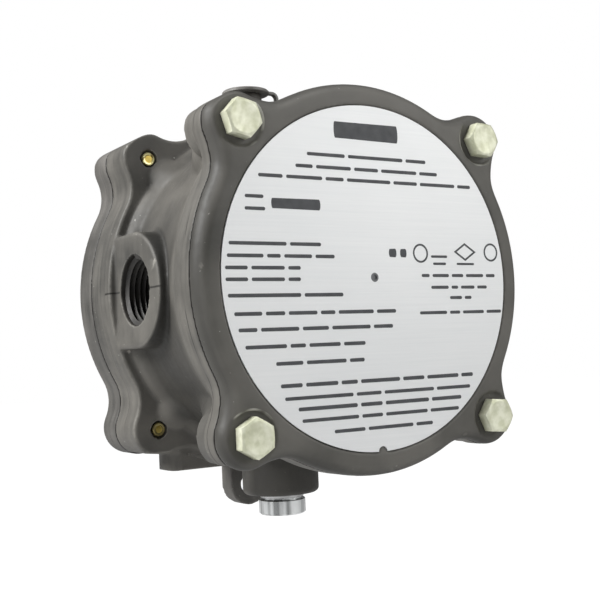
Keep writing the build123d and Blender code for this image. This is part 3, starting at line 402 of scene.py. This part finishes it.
# every other node is plated steel
finishes = {
    "main_housing": castHousing, "rear_cover": castRear, "front_cover": castCover,
    "nameplate": plateMetal, "cover_bolts": boltZinc, "rear_cover_screws": screwYellow,
    "drain_plug": plugBright, "drain_gasket": gasketMetal,
    "cover_o_ring": sealRubber, "diaphragm": sealRubber,
    "diaphragm_front_plate": plateAluminium, "diaphragm_rear_plate": plateAluminium,
    "switch_body": switchMoulding, "switch_plunger": plungerMoulding, "adjuster_lid": lidMoulding,
    "ground_screw": groundGreen,
    "rod_bushing": brassTurned, "adjuster_bushing": brassTurned, "spring_nut": brassTurned,
    "switch_terminals": brassTurned, "terminal_screws": brassTurned,
}
for name, obj in nodes.items():
    obj.data.materials.clear()
    obj.data.materials.append(finishes.get(name, steelZinc))
print("finishes on", len(nodes), "nodes")


def clearSelection():
    if bpy.context.object and bpy.context.object.mode != "OBJECT":
        bpy.ops.object.mode_set(mode="OBJECT")
    bpy.ops.object.select_all(action="DESELECT")


def activate(obj):
    clearSelection()
    obj.select_set(True)
    bpy.context.view_layer.objects.active = obj


def bakePlace(obj):
    # puts the piece's place, turn and scale into its mesh
    activate(obj)
    bpy.ops.object.transform_apply(location=True, rotation=True, scale=True)


def smoothBy(obj, angle):
    activate(obj)
    bpy.ops.object.shade_smooth_by_angle(angle=math.radians(angle))


def settle(obj, name, finish, body):
    # names the piece, gives it its finish and lets it ride
    bakePlace(obj)
    obj.name = name
    obj.data.materials.clear()
    obj.data.materials.append(finish)
    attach(obj, body)
    print("made", name, len(obj.data.polygons), "faces")


def applyModifier(obj, kind, **settings):
    activate(obj)
    modifier = obj.modifiers.new(kind.lower(), kind)
    for key, value in settings.items():
        setattr(modifier, key, value)
    bpy.ops.object.modifier_apply(modifier=modifier.name)


def cutWith(obj, tool, operation):
    applyModifier(obj, "BOOLEAN", operation=operation, object=tool)
    bpy.data.objects.remove(tool)


def joinAll(pieces):
    clearSelection()
    for piece in pieces:
        piece.select_set(True)
    bpy.context.view_layer.objects.active = pieces[0]
    bpy.ops.object.join()
    return pieces[0]


def editMode():
    bpy.ops.object.mode_set(mode="EDIT")


def objectMode():
    bpy.ops.object.mode_set(mode="OBJECT")


def editAll(obj):
    # edit mode, with the whole mesh selected
    activate(obj)
    editMode()
    bpy.ops.mesh.select_all(action="SELECT")


def selectVerts(obj, test):
    # in edit mode: selects the points for which test(vertex) holds
    bpy.ops.mesh.select_mode(type="VERT")
    bpy.ops.mesh.select_all(action="DESELECT")
    objectMode()
    for vertex in obj.data.vertices:
        vertex.select = bool(test(vertex))
    editMode()


def drawOut(x, y, z):
    bpy.ops.mesh.extrude_region_move(TRANSFORM_OT_translate={"value": (x, y, z)})


def faceOut(obj):
    editAll(obj)
    bpy.ops.mesh.normals_make_consistent(inside=False)
    objectMode()


def mergeDoubles(obj):
    # a CAD node's mesh is loose triangles
    editAll(obj)
    bpy.ops.mesh.remove_doubles(threshold=0.000002)
    objectMode()


def copyOf(obj, name):
    made = obj.copy()
    made.data = obj.data.copy()
    made.name = name
    bpy.context.scene.collection.objects.link(made)
    return made


def turnUp(profile, segments=64):
    # a turned solid about Z: a disc drawn out ring by ring through (radius, height)
    clearSelection()
    radius, height = profile[0]
    bpy.ops.mesh.primitive_circle_add(vertices=segments, radius=radius, fill_type="NGON",
                                      location=(0, 0, height))
    obj = bpy.context.object
    editAll(obj)
    for (fromRadius, fromHeight), (toRadius, toHeight) in zip(profile, profile[1:]):
        drawOut(0, 0, toHeight - fromHeight)
        share = toRadius / fromRadius
        bpy.ops.transform.resize(value=(share, share, 1), center_override=(0, 0, toHeight))
    objectMode()
    faceOut(obj)
    bakePlace(obj)
    return obj


def standAt(obj, x, y):
    obj.location = (x, y, 0)
    bakePlace(obj)


def aimForward(obj, x, z):
    # turns a piece made about Z to lie along the depth, its top towards the front
    obj.rotation_euler = (math.radians(90), 0, 0)
    obj.location = (x, 0, z)
    bakePlace(obj)
    return obj


# the castings: copies of the solids, melted into one skin and softened as cast edges are
castings = {
    "case": {"voxel": 0.0005, "blendRounds": 60, "faces": 95000, "slot": "housing_finish"},
    "cover": {"voxel": 0.0005, "blendRounds": 14, "faces": 75000, "slot": "front_cover_finish"},
    "back": {"voxel": 0.0006, "faces": 60000, "slot": "rear_cover_finish"},
}
castSoftRounds = 2
upperLobe = {"place": (-boltAxis, boltAxis), "from": 0.0070, "to": 0.016, "grow": 0.0018,
             "press": 0.0013, "aim": 118, "spread": 52}
portBoss = {"end": (-0.0320, -0.0199), "radius": 0.0076, "low": -0.0519, "grow": 0.0012}
drainBoss = {"high": -0.0560, "grow": 0.002, "side": -0.0030, "inner": 0.0110, "outer": 0.0140,
             "wider": 0.0005}
frontRim = {"depth": -0.0752, "depthGrow": 0.002, "from": 0.0545, "grow": 0.003,
            "lobe": 0.0092, "lobeGrow": 0.004, "smaller": 0.00055}
lobeRoot = {"radius": 0.0088, "front": -0.0780, "back": -0.0706, "edge": 0.0006, "pick": 0.0001}
caseBlend = {"front": -0.0775, "back": -0.0285, "radius": 0.0485,
             "hubSide": -0.0400, "hubHalf": 0.0196,
             "drainHalf": 0.0140, "drainHigh": -0.0500, "drainFront": -0.0430,
             "padLeft": -0.0180, "padRight": 0.0140, "padLow": 0.0515, "padFront": -0.0425,
             "lobeBack": -0.0702, "lobeRadius": 0.0098}
coverBlend = {"back": -0.0826, "lobeRadius": 0.0083, "radius": 0.0528}


def boltReach(x, z):
    # how far a point lies from the nearest bolt's axis
    return math.hypot(abs(x) - boltAxis, abs(z) - boltAxis)


def pressLobe(x, z):
    # the upper left lobe is flatter on its outer side than the other three
    dx, dz = x - upperLobe["place"][0], z - upperLobe["place"][1]
    reach = math.hypot(dx, dz)
    if reach < upperLobe["from"] or reach > upperLobe["to"]:
        return x, z
    off = math.degrees(math.atan2(dz, dx)) - upperLobe["aim"]
    if abs(off) > upperLobe["spread"]:
        return x, z
    share = math.cos(math.radians(off / upperLobe["spread"] * 90)) ** 2
    outer = min(1.0, (reach - upperLobe["from"]) / upperLobe["grow"])
    pull = 1 - upperLobe["press"] * share * outer / reach
    return upperLobe["place"][0] + dx * pull, upperLobe["place"][1] + dz * pull


def roundPort(x, y, z):
    # the port boss under the housing ends in a half round
    high = portBoss["low"] + portBoss["grow"]
    if z > high or x > portBoss["end"][0]:
        return x, y
    dx, dy = x - portBoss["end"][0], y - portBoss["end"][1]
    reach = math.hypot(dx, dy)
    if reach < portBoss["radius"]:
        return x, y
    share = min(1.0, (high - z) / portBoss["grow"])
    pull = 1 + (portBoss["radius"] / reach - 1) * share
    return portBoss["end"][0] + dx * pull, portBoss["end"][1] + dy * pull


def widenDrain(x, y, z):
    # the drain boss is a little wider on its left
    reach = math.hypot(x, y - drainAxis)
    if z < drainBoss["high"] and x < drainBoss["side"] and drainBoss["inner"] < reach < drainBoss["outer"]:
        x -= drainBoss["wider"] * min(1.0, (drainBoss["high"] - z) / drainBoss["grow"])
    return x


def pullRim(x, y, z):
    # between its lobes the front flange is a little smaller than the solid's
    reach = math.hypot(x, z)
    if y > frontRim["depth"] or reach < frontRim["from"]:
        return x, z
    outward = min(1.0, (reach - frontRim["from"]) / frontRim["grow"])
    between = min(1.0, max(0.0, (boltReach(x, z) - frontRim["lobe"]) / frontRim["lobeGrow"]))
    forward = min(1.0, (frontRim["depth"] - y) / frontRim["depthGrow"])
    pull = 1 - frontRim["smaller"] * (outward * between * forward) / reach
    return x * pull, z * pull


def shapeCover(x, y, z):
    x, z = pullRim(x, y, z)
    x, z = pressLobe(x, z)
    return x, y, z


def shapeCase(x, y, z):
    x, y, z = shapeCover(x, y, z)
    x, y = roundPort(x, y, z)
    return widenDrain(x, y, z), y, z


def blendCase(x, y, z):
    # the barrel's flare, its cove and its swellings run together; hub, bosses and flanges stay crisp
    zone = caseBlend
    if not zone["front"] < y < zone["back"] or math.hypot(x, z) < zone["radius"]:
        return False
    if x < zone["hubSide"] and abs(z) < zone["hubHalf"]:
        return False
    if abs(x) < zone["drainHalf"] and z < zone["drainHigh"] and y > zone["drainFront"]:
        return False
    if zone["padLeft"] < x < zone["padRight"] and z > zone["padLow"] and y > zone["padFront"]:
        return False
    return not (y < zone["lobeBack"] and boltReach(x, z) < zone["lobeRadius"])


def blendCover(x, y, z):
    # the front edge of the cover is rounder than the solid's
    zone = coverBlend
    return y < zone["back"] and boltReach(x, z) > zone["lobeRadius"] and math.hypot(x, z) > zone["radius"]


def makeLobeRoots(look):
    # the front flange is thicker behind each bolt lobe
    depth = look["back"] - look["front"]
    clearSelection()
    bpy.ops.mesh.primitive_cylinder_add(vertices=64, radius=look["radius"], depth=depth,
                                        rotation=(math.radians(90), 0, 0))
    first = bpy.context.object
    bakePlace(first)
    editMode()
    selectVerts(first, lambda vertex: vertex.co.y > depth / 2 - look["pick"])
    bpy.ops.mesh.bevel(offset=look["edge"], segments=2)
    objectMode()
    made = []
    for sideX, sideZ in corners:
        root = copyOf(first, "lobeRoot")
        root.location = (sideX * boltAxis, (look["back"] + look["front"]) / 2, sideZ * boltAxis)
        bakePlace(root)
        made.append(root)
    bpy.data.objects.remove(first)
    return made


def makeCasting(node, name, finish, look, shape, blend=None, extra=()):
    piece = bpy.data.objects.new(name, nodes[node].data.copy())
    bpy.context.scene.collection.objects.link(piece)
    mergeDoubles(piece)
    if extra:
        piece = joinAll([piece, *extra])
    applyModifier(piece, "REMESH", mode="VOXEL", voxel_size=look["voxel"], adaptivity=0.0)
    for vertex in piece.data.vertices:
        vertex.co = shape(*vertex.co)
    if blend:
        group = piece.vertex_groups.new(name="blend")
        group.add([vertex.index for vertex in piece.data.vertices if blend(*vertex.co)], 1.0, "REPLACE")
        applyModifier(piece, "SMOOTH", factor=0.5, iterations=look["blendRounds"], vertex_group="blend")
    applyModifier(piece, "SMOOTH", factor=0.5, iterations=castSoftRounds)
    applyModifier(piece, "DECIMATE", ratio=min(1.0, look["faces"] / len(piece.data.polygons)))
    smoothBy(piece, 50)
    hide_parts(node)
    settle(piece, name, finish, "case")


makeCasting("main_housing", "castCase", castHousing, castings["case"], shapeCase, blendCase,
            makeLobeRoots(lobeRoot))
makeCasting("front_cover", "castFront", castCover, castings["cover"], shapeCover, blendCover)
makeCasting("rear_cover", "castBack", castRear, castings["back"], shapeCover)

# threads of the conduit hub and the two pressure ports
threads = {
    "hubThread": {"axis": "X", "start": (-0.0550, hubAxis, 0.0), "pitch": 0.001814, "radius": 0.01078,
                  "height": 0.00130, "steps": 60, "slot": "housing_finish"},
    "lowPortThread": {"axis": "Z", "start": (-0.0280, -0.01945, -0.0570), "pitch": 0.00094,
                      "radius": 0.00494, "height": 0.0006, "steps": 40, "slot": "housing_finish"},
    "highPortThread": {"axis": "Z", "start": (0.0280, -0.00615, -0.0570), "pitch": 0.00094,
                       "radius": 0.00494, "height": 0.0006, "steps": 40, "slot": "rear_cover_finish"},
}
threadTurns = 8
threadFill = 0.47              # half the ridge's width, as a share of the pitch
ridgeCorners = 4


def makeThread(name, look, finish):
    # a small diamond wound along the bore, its inner half standing out of the wall
    clearSelection()
    x, y, z = look["start"]
    along = look["axis"] == "X"
    place = (x, y, z + look["radius"]) if along else (x + look["radius"], y, z)
    bpy.ops.mesh.primitive_circle_add(vertices=ridgeCorners, radius=1, location=place,
                                      rotation=(math.radians(90), 0, 0))
    obj = bpy.context.object
    half = look["pitch"] * threadFill
    obj.scale = (half, look["height"], 1) if along else (look["height"], half, 1)
    bpy.ops.object.transform_apply(location=False, rotation=True, scale=True)
    bpy.context.scene.cursor.location = (x, y, z)
    bpy.ops.object.origin_set(type="ORIGIN_CURSOR")
    applyModifier(obj, "SCREW", axis=look["axis"], angle=math.tau, screw_offset=look["pitch"],
                  iterations=threadTurns, steps=look["steps"], render_steps=look["steps"],
                  use_smooth_shade=True)
    last = len(obj.data.vertices) - ridgeCorners
    for isEnd in (lambda vertex: vertex.index < ridgeCorners, lambda vertex: vertex.index >= last):
        activate(obj)
        editMode()
        selectVerts(obj, isEnd)
        bpy.ops.mesh.edge_face_add()
        objectMode()
    faceOut(obj)
    smoothBy(obj, 35)
    settle(obj, name, finish, "case")


for threadName, threadLook in threads.items():
    makeThread(threadName, threadLook, shadedThread)

# cover bolts: six-sided heads with a turned chamfer, a washer face and a plain shank
boltLook = {
    "flats": 0.0100, "face": 0.0907, "seat": 0.0867, "washer": 0.0003, "washerRadius": 0.0047,
    "shank": 0.0030, "shankTip": 0.0005, "sink": 0.0005,
    "faceShare": 0.95, "chamfer": 24, "chamferDrop": 0.00023,
    "cutterRoom": 0.0004, "cutterBelow": 0.001,
    # steps of the face from its rim inwards: radius and height
    "crown": ((0.0, -0.00006), (-0.0002, 0.0), (-0.0006, 0.0), (-0.0009, -0.00005)),
    "turns": {(-1, 1): 18, (1, 1): 27, (1, -1): 25, (-1, -1): 60},
}


def makeBolts(look):
    tail = -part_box("cover_bolts")[1][1]
    corner = look["flats"] / math.sqrt(3)
    height = look["face"] - look["seat"] - look["washer"]
    clearSelection()
    bpy.ops.mesh.primitive_cylinder_add(vertices=6, radius=corner, depth=height,
                                        location=(0, 0, look["seat"] + look["washer"] + height / 2))
    head = bpy.context.object
    bakePlace(head)
    editAll(head)
    bpy.ops.mesh.subdivide(number_cuts=6)
    objectMode()
    faceRadius = look["flats"] / 2 * look["faceShare"]
    rise = (corner - faceRadius) * math.tan(math.radians(look["chamfer"]))
    outer = corner + look["cutterRoom"]
    crown = [(faceRadius + inward, look["face"] + up) for inward, up in look["crown"]]
    cone = turnUp([(outer, look["seat"] - look["cutterBelow"]),
                   (outer, look["face"] - rise - look["chamferDrop"]), *crown], 96)
    cutWith(head, cone, "INTERSECT")
    radius, tip = look["shank"], look["shankTip"]
    shank = turnUp([(radius - tip, tail), (radius, tail + tip), (radius, look["seat"]),
                    (look["washerRadius"], look["seat"]),
                    (look["washerRadius"], look["seat"] + look["sink"])], 48)
    bolt = joinAll([head, shank])
    made = []
    for (sideX, sideZ), turn in look["turns"].items():
        each = copyOf(bolt, "coverBolt")
        each.rotation_euler = (0, 0, math.radians(turn))
        bakePlace(each)
        made.append(aimForward(each, sideX * boltAxis, sideZ * boltAxis))
    bpy.data.objects.remove(bolt)
    for letter, each in zip("ABCD", made):
        smoothBy(each, 25)
        settle(each, "coverBolt" + letter, boltZinc, "case")
    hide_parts("cover_bolts")


makeBolts(boltLook)

# the ends of the rear cover's screws in their recesses: a chamfered rim round an uneven hollow
tipLook = {
    "outer": 0.00215, "front": 0.02735, "back": 0.0262, "chamfer": (0.0003, 0.00035),
    # the hollow: share of the radius and drop of its rim and of its floor, and how far it is off centre
    "rim": (0.55, 0.0001), "floor": (0.42, 0.0007), "floorFrom": 0.0003, "off": (0.0002, -0.0001, 0),
    "turnX": 70, "turnZ": 40,
}


def makeTips(look):
    outer, front = look["outer"], look["front"]
    narrower, lower = look["chamfer"]
    hollow = [(outer * share, front - drop) for share, drop in (look["rim"], look["floor"])]
    first = turnUp([(outer, look["back"]), (outer, front - lower), (outer - narrower, front), *hollow], 32)
    editMode()
    deep = front - look["floorFrom"]
    selectVerts(first, lambda vertex: vertex.co.z < deep and vertex.co.xy.length < outer * 0.5)
    bpy.ops.transform.translate(value=look["off"])
    objectMode()
    made = []
    for sideX, sideZ in corners:
        each = copyOf(first, "screwTip")
        each.rotation_euler = (0, 0, math.radians(look["turnX"] * sideX + look["turnZ"] * sideZ))
        bakePlace(each)
        made.append(aimForward(each, sideX * boltAxis, sideZ * boltAxis))
    bpy.data.objects.remove(first)
    whole = joinAll(made)
    smoothBy(whole, 30)
    settle(whole, "screwTips", screwTip, "case")


makeTips(tipLook)

# drain plug: a bright head under a thin collar, with a screwdriver slot; heights from below
plugLook = {"head": 0.0078, "low": -0.07445, "lowEdge": 0.0005, "lowFull": -0.0740,
            "high": -0.0695, "highEdge": 0.0003, "highFull": -0.0698,
            "neck": 0.0066, "neckTop": -0.0688, "stem": 0.0052,
            "collar": 0.0073, "collarLow": -0.0689, "collarFull": -0.0680, "collarTop": -0.0678,
            "collarEdge": 0.0001, "collarEnd": -0.0674,
            "slot": (0.0110, 0.0016, 0.0030), "slotHeight": -0.0744}


def makePlug(look):
    head, neck, collar, stem = look["head"], look["neck"], look["collar"], look["stem"]
    plug = turnUp([(head - look["lowEdge"], look["low"]), (head, look["lowFull"]), (head, look["highFull"]),
                   (head - look["highEdge"], look["high"]), (neck, look["high"]), (neck, look["neckTop"])])
    clearSelection()
    bpy.ops.mesh.primitive_cube_add(size=1, location=(0, 0, look["slotHeight"]))
    slot = bpy.context.object
    slot.scale = look["slot"]
    bakePlace(slot)
    cutWith(plug, slot, "DIFFERENCE")
    ring = turnUp([(neck, look["collarLow"]), (collar - look["collarEdge"], look["collarLow"]),
                   (collar, look["neckTop"]), (collar, look["collarFull"]),
                   (neck, look["collarTop"]), (stem, look["collarEnd"])])
    rod = turnUp([(stem, look["collarLow"]), (stem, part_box("drain_plug")[1][2])], 40)
    whole = joinAll([plug, rod])
    for piece in (whole, ring):
        standAt(piece, 0.0, drainAxis)
        smoothBy(piece, 30)
    settle(whole, "drainPlug", plugBright, "case")
    settle(ring, "drainCollar", gasketMetal, "case")
    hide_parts("drain_plug")
    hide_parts("drain_gasket")


makePlug(plugLook)

# swing cover: a thin round lid and a narrow bent strap down to its screw
lidLook = {"lid": 0.0079, "low": 0.06605, "thick": 0.0012, "crown": 0.00015, "crownFrom": 0.0016,
           "lowEdge": 0.0002, "topEdge": 0.0004,
           "strap": 0.0019, "strapThick": 0.0011, "strapEdge": 0.00025, "bend": 0.0019, "knee": 0.0018,
           "bendSteps": 8, "strapLift": 0.25, "dropX": 0.0032,
           "pivotX": 0.0079, "foot": 0.0044, "footLow": 0.0554, "footEdge": 0.0002, "footReach": 0.0026}


def turnFaces(angle, place):
    # turns the selected faces about Y through a point; the operator turns the other way here
    bpy.ops.transform.rotate(value=-angle, orient_axis="Y", center_override=tuple(place))


def bendStrap(place, centre, start, end, radius, way):
    # draws the strap's end round a quarter turn, from the start direction to the end direction
    steps = lidLook["bendSteps"]
    for step in range(1, steps + 1):
        angle = math.pi / 2 * step / steps
        target = centre + (start * math.cos(angle) + end * math.sin(angle)) * radius
        drawOut(*(target - place))
        turnFaces(way * math.pi / 2 / steps, target)
        place = target
    return place


def makeStrap(look, middle):
    x, y = adjusterAxis
    thick, bend, knee = look["strapThick"], look["bend"], look["knee"]
    clearSelection()
    bpy.ops.mesh.primitive_plane_add(size=1, location=(x, y, middle), rotation=(0, math.radians(90), 0))
    strap = bpy.context.object
    strap.scale = (thick, look["strap"], 1)
    bakePlace(strap)
    editAll(strap)
    corner = look["dropX"] - thick / 2
    drawOut(corner - bend - x, 0, 0)
    out, up = Vector((1, 0, 0)), Vector((0, 0, 1))
    place = Vector((corner - bend, y, middle))
    place = bendStrap(place, Vector((corner - bend, y, middle - bend)), up, out, bend, 1)
    down = place.z - (look["footLow"] + thick / 2) - knee
    drawOut(0, 0, -down)
    place = place - up * down
    place = bendStrap(place, place + out * knee, -out, -up, knee, -1)
    drawOut(look["pivotX"] - look["footReach"] - place.x, 0, 0)
    objectMode()
    faceOut(strap)
    applyModifier(strap, "BEVEL", width=look["strapEdge"], segments=2, limit_method="ANGLE",
                  angle_limit=math.radians(40))
    return strap


def makeLid(look):
    radius, low, top = look["lid"], look["low"], look["low"] + look["thick"]
    lid = turnUp([(radius - look["lowEdge"], low), (radius, low + look["lowEdge"]),
                  (radius, top - look["topEdge"]), (radius - look["topEdge"], top),
                  (radius - look["crownFrom"], top + look["crown"])], 72)
    standAt(lid, *adjusterAxis)
    strap = makeStrap(look, top + look["strapThick"] * look["strapLift"])
    radius, edge = look["foot"], look["footEdge"]
    low, top = look["footLow"], look["footLow"] + look["strapThick"]
    foot = turnUp([(radius - edge, low), (radius, low + edge),
                   (radius, top - edge), (radius - edge, top)], 48)
    standAt(foot, look["pivotX"], adjusterAxis[1])
    whole = joinAll([lid, strap, foot])
    smoothBy(whole, 35)
    settle(whole, "swingLid", lidMoulding, "lid")
    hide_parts("adjuster_lid")


makeLid(lidLook)


def makeSpring():
    spring = copyOf(nodes["range_spring"], "rangeCoil")
    spring.parent = None
    spring.matrix_world = Matrix.Identity(4)
    mergeDoubles(spring)
    settle(spring, "rangeCoil", steelZinc, "case")
    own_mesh(spring)
    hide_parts("range_spring")


makeSpring()

# generic print on the plate, in millimetres: bars in place of words, plain shapes in place of marks
printLook = {"rise": 0.03, "sink": 0.01, "gap": 1.15,
             "wordShares": (0.23, 0.12, 0.3, 0.17, 0.26, 0.1, 0.21, 0.15),
             "rings": ((17.6, 7.3), (46.0, 7.9)), "ringRadii": (2.9, 2.3),
             "diamond": (35.3, 7.9), "diamondRadii": (3.9, 3.2), "diamondScale": (1.15, 1, 0.72)}
plateFront = -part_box("nameplate")[0][1]
printRows = [
    # left, right, height, thickness, words
    (-21.8, 21.3, 35.3, 1.05, 3), (-25.8, 25.6, 31.7, 1.05, 5), (-38.1, 38.8, 28.4, 1.05, 7),
    (-42.6, -36.7, 22.4, 1.0, 1), (-42.8, -36.3, 19.0, 1.0, 1), (-34.3, -18.0, 20.8, 3.1, 1),
    (-48.2, -18.4, 9.4, 1.05, 2), (-48.9, -13.9, 6.0, 1.05, 4), (-49.6, -25.6, 2.7, 1.05, 3),
    (-49.6, -25.7, -0.5, 1.05, 3), (-49.1, -11.5, -4.9, 1.1, 2), (-47.4, 7.2, -9.9, 1.1, 6),
    (-46.3, 5.8, -14.3, 1.1, 5), (-44.4, -4.5, -19.0, 1.1, 4), (-35.0, -5.1, -23.8, 1.1, 3),
    (17.6, 47.2, 0.6, 1.0, 5), (21.1, 43.6, -3.0, 1.0, 4), (28.3, 37.0, -6.2, 1.0, 2),
    (16.2, 49.1, -10.7, 1.0, 4), (-33.8, 35.9, -30.0, 1.15, 7), (-32.6, 34.5, -33.6, 1.05, 4),
    (-28.4, 30.7, -36.7, 1.15, 4), (-27.3, 29.5, -40.0, 1.05, 4), (-16.7, 19.0, -43.7, 1.05, 3),
    (21.6, 28.0, 6.4, 0.8, 1), (22.3, 27.4, 4.2, 0.8, 1), (31.7, 38.8, 4.2, 0.7, 1),
    (5.6, 8.4, 7.4, 2.6, 1), (9.8, 12.2, 7.4, 2.6, 1), (-12.2, 11.0, 43.2, 5.2, 1),
]


def makeBar():
    # one round-ended bar of thickness one, to be drawn out for each place
    clearSelection()
    bpy.ops.mesh.primitive_circle_add(vertices=16, radius=0.5, fill_type="NGON",
                                      rotation=(math.radians(90), 0, 0))
    bar = bpy.context.object
    bakePlace(bar)
    editAll(bar)
    drawOut(0, -1, 0)
    objectMode()
    faceOut(bar)
    return bar


def placeBar(bar, left, right, height, thick):
    piece = copyOf(bar, "bar")
    end = min(thick / 2, 0.5)
    front = -plateFront / mm
    for vertex in piece.data.vertices:
        side = 1 if vertex.co.x > 0.01 else -1 if vertex.co.x < -0.01 else 0
        x = (left + right) / 2 + side * ((right - left) / 2 - end) + vertex.co.x * 2 * end
        y = front + printLook["sink"] if vertex.co.y > -0.5 else front - printLook["rise"]
        vertex.co = (x * mm, y * mm, (height + vertex.co.z * thick) * mm)
    return piece


def makeRing(x, z, radii, segments):
    # a flat ring or a hollow diamond: an outline inset, its middle taken out, then given its thickness
    outer, inner = radii
    clearSelection()
    bpy.ops.mesh.primitive_circle_add(vertices=segments, radius=outer * mm, fill_type="NGON")
    ring = bpy.context.object
    editAll(ring)
    bpy.ops.mesh.inset(thickness=(outer - inner) * mm, depth=0)
    bpy.ops.mesh.delete(type="FACE")
    bpy.ops.mesh.select_all(action="SELECT")
    drawOut(0, 0, (printLook["rise"] + printLook["sink"]) * mm)
    objectMode()
    ring.rotation_euler = (math.radians(90), 0, 0)
    ring.location = (x * mm, -plateFront + printLook["sink"] * mm, z * mm)
    faceOut(ring)
    bakePlace(ring)
    return ring


def makeDiamond():
    x, z = printLook["diamond"]
    scale = printLook["diamondScale"]
    diamond = makeRing(0, z, printLook["diamondRadii"], 4)
    diamond.scale = scale
    diamond.location = (x * mm, 0, z * mm * (1 - scale[2]))
    bakePlace(diamond)
    return diamond


def makePrint():
    bar = makeBar()
    shares, gap = printLook["wordShares"], printLook["gap"]
    made = []
    for left, right, height, thick, words in printRows:
        row = [shares[(words + k) % len(shares)] for k in range(words)]
        room = right - left - gap * (words - 1)
        start = left
        for share in row:
            width = room * share / sum(row)
            made.append(placeBar(bar, start, start + width, height, thick))
            start += width + gap
    bpy.data.objects.remove(bar)
    for x, z in printLook["rings"]:
        made.append(makeRing(x, z, printLook["ringRadii"], 40))
    made.append(makeDiamond())
    settle(joinAll(made), "platePrint", printInk, "case")


makePrint()

# camera at the photograph's viewing angle: place in millimetres, angles in degrees
cameraView = {"place": (-181.7, -331.9, -21.0), "turn": -32.43, "rise": -2.89, "roll": -2.61,
              "focal": 62.35, "sensor": 36, "near": 0.01, "far": 20}


def makeCamera(look):
    turn, rise, roll = (math.radians(look[k]) for k in ("turn", "rise", "roll"))
    back = Vector((math.sin(turn) * math.cos(rise), -math.cos(turn) * math.cos(rise), math.sin(rise)))
    right = Vector((math.cos(turn), math.sin(turn), 0))
    up = right.cross(-back)
    tiltedRight = math.cos(roll) * right + math.sin(roll) * up
    tiltedUp = -math.sin(roll) * right + math.cos(roll) * up
    camera = bpy.data.objects.new("viewCamera", bpy.data.cameras.new("viewCamera"))
    bpy.context.scene.collection.objects.link(camera)
    camera.data.sensor_width = look["sensor"]
    camera.data.lens = look["focal"]
    camera.data.clip_start = look["near"]
    camera.data.clip_end = look["far"]
    turned = Matrix((tiltedRight, tiltedUp, back)).transposed().to_4x4()
    camera.matrix_world = Matrix.Translation(Vector(look["place"]) * mm) @ turned
    bpy.context.scene.camera = camera
    print("camera at", look["place"])


makeCamera(cameraView)

lampAim = Vector((0, -0.045, 0))
lamps = [
    # name, place, size, power, colour
    ("keyLamp", (0.80, -1.05, 0.50), 0.9, 7.6, (1.0, 0.995, 0.98)),
    ("sideLamp", (-1.05, 0.15, 0.75), 0.7, 27.0, (1.0, 1.0, 1.0)),
    ("topLamp", (0.10, -0.45, 1.1), 0.9, 4.6, (1.0, 1.0, 1.0)),
]


def makeLamp(name, place, size, power, colour):
    lamp = bpy.data.lights.new(name, "AREA")
    lamp.shape = "DISK"
    lamp.size = size
    lamp.energy = power
    lamp.color = colour
    holder = bpy.data.objects.new(name, lamp)
    bpy.context.scene.collection.objects.link(holder)
    aim = lampAim - Vector(place)
    holder.matrix_world = Matrix.Translation(place) @ aim.to_track_quat("-Z", "Y").to_matrix().to_4x4()
    print("lamp", name, "power", power)


for lamp in lamps:
    makeLamp(*lamp)

# the floor and the world are white for the camera and plain for the light
floorLook = {"height": -0.14, "radius": 3.0, "colour": rgb(205, 205, 205), "rough": 0.8,
             "white": 1.09, "whiteShare": 0.93}
worldLook = {"white": (1, 1, 1, 1), "light": (0.95, 0.97, 1.0, 1), "strength": 0.13}


def makeFloor(look):
    clearSelection()
    bpy.ops.mesh.primitive_circle_add(vertices=64, radius=look["radius"], fill_type="NGON",
                                      location=(0, 0, look["height"]))
    floor = bpy.context.object
    floor.name = "paleFloor"
    shade = Shade("paleFloor")
    shade.set(Base_Color=look["colour"], Roughness=look["rough"])
    white = shade.node("ShaderNodeEmission", Color=(1, 1, 1, 1), Strength=look["white"])
    seen = shade.node("ShaderNodeLightPath", output="Is Camera Ray")
    plain = Flow(shade.tree, shade.surface.outputs[0])
    mixed = shade.node("ShaderNodeMixShader", i0=seen * look["whiteShare"], i1=plain, i2=white)
    shade.tree.links.new(mixed.socket, shade.out.inputs[0])
    floor.data.materials.append(shade.material)
    print("floor at", look["height"])


def makeWorld(look):
    world = bpy.data.worlds.new("studio")
    bpy.context.scene.world = world
    world.use_nodes = True
    tree = world.node_tree
    tree.nodes.clear()
    out = tree.nodes.new("ShaderNodeOutputWorld")
    mixer = tree.nodes.new("ShaderNodeMixShader")
    path = tree.nodes.new("ShaderNodeLightPath")
    tree.links.new(path.outputs["Is Camera Ray"], mixer.inputs[0])
    for slot, colour, strength in ((1, look["light"], look["strength"]), (2, look["white"], 1.0)):
        shine = tree.nodes.new("ShaderNodeBackground")
        shine.inputs[0].default_value = colour
        shine.inputs[1].default_value = strength
        tree.links.new(shine.outputs[0], mixer.inputs[slot])
    tree.links.new(mixer.outputs[0], out.inputs[0])
    print("world light", look["strength"])


makeFloor(floorLook)
makeWorld(worldLook)
bpy.context.scene.view_settings.view_transform = "Standard"
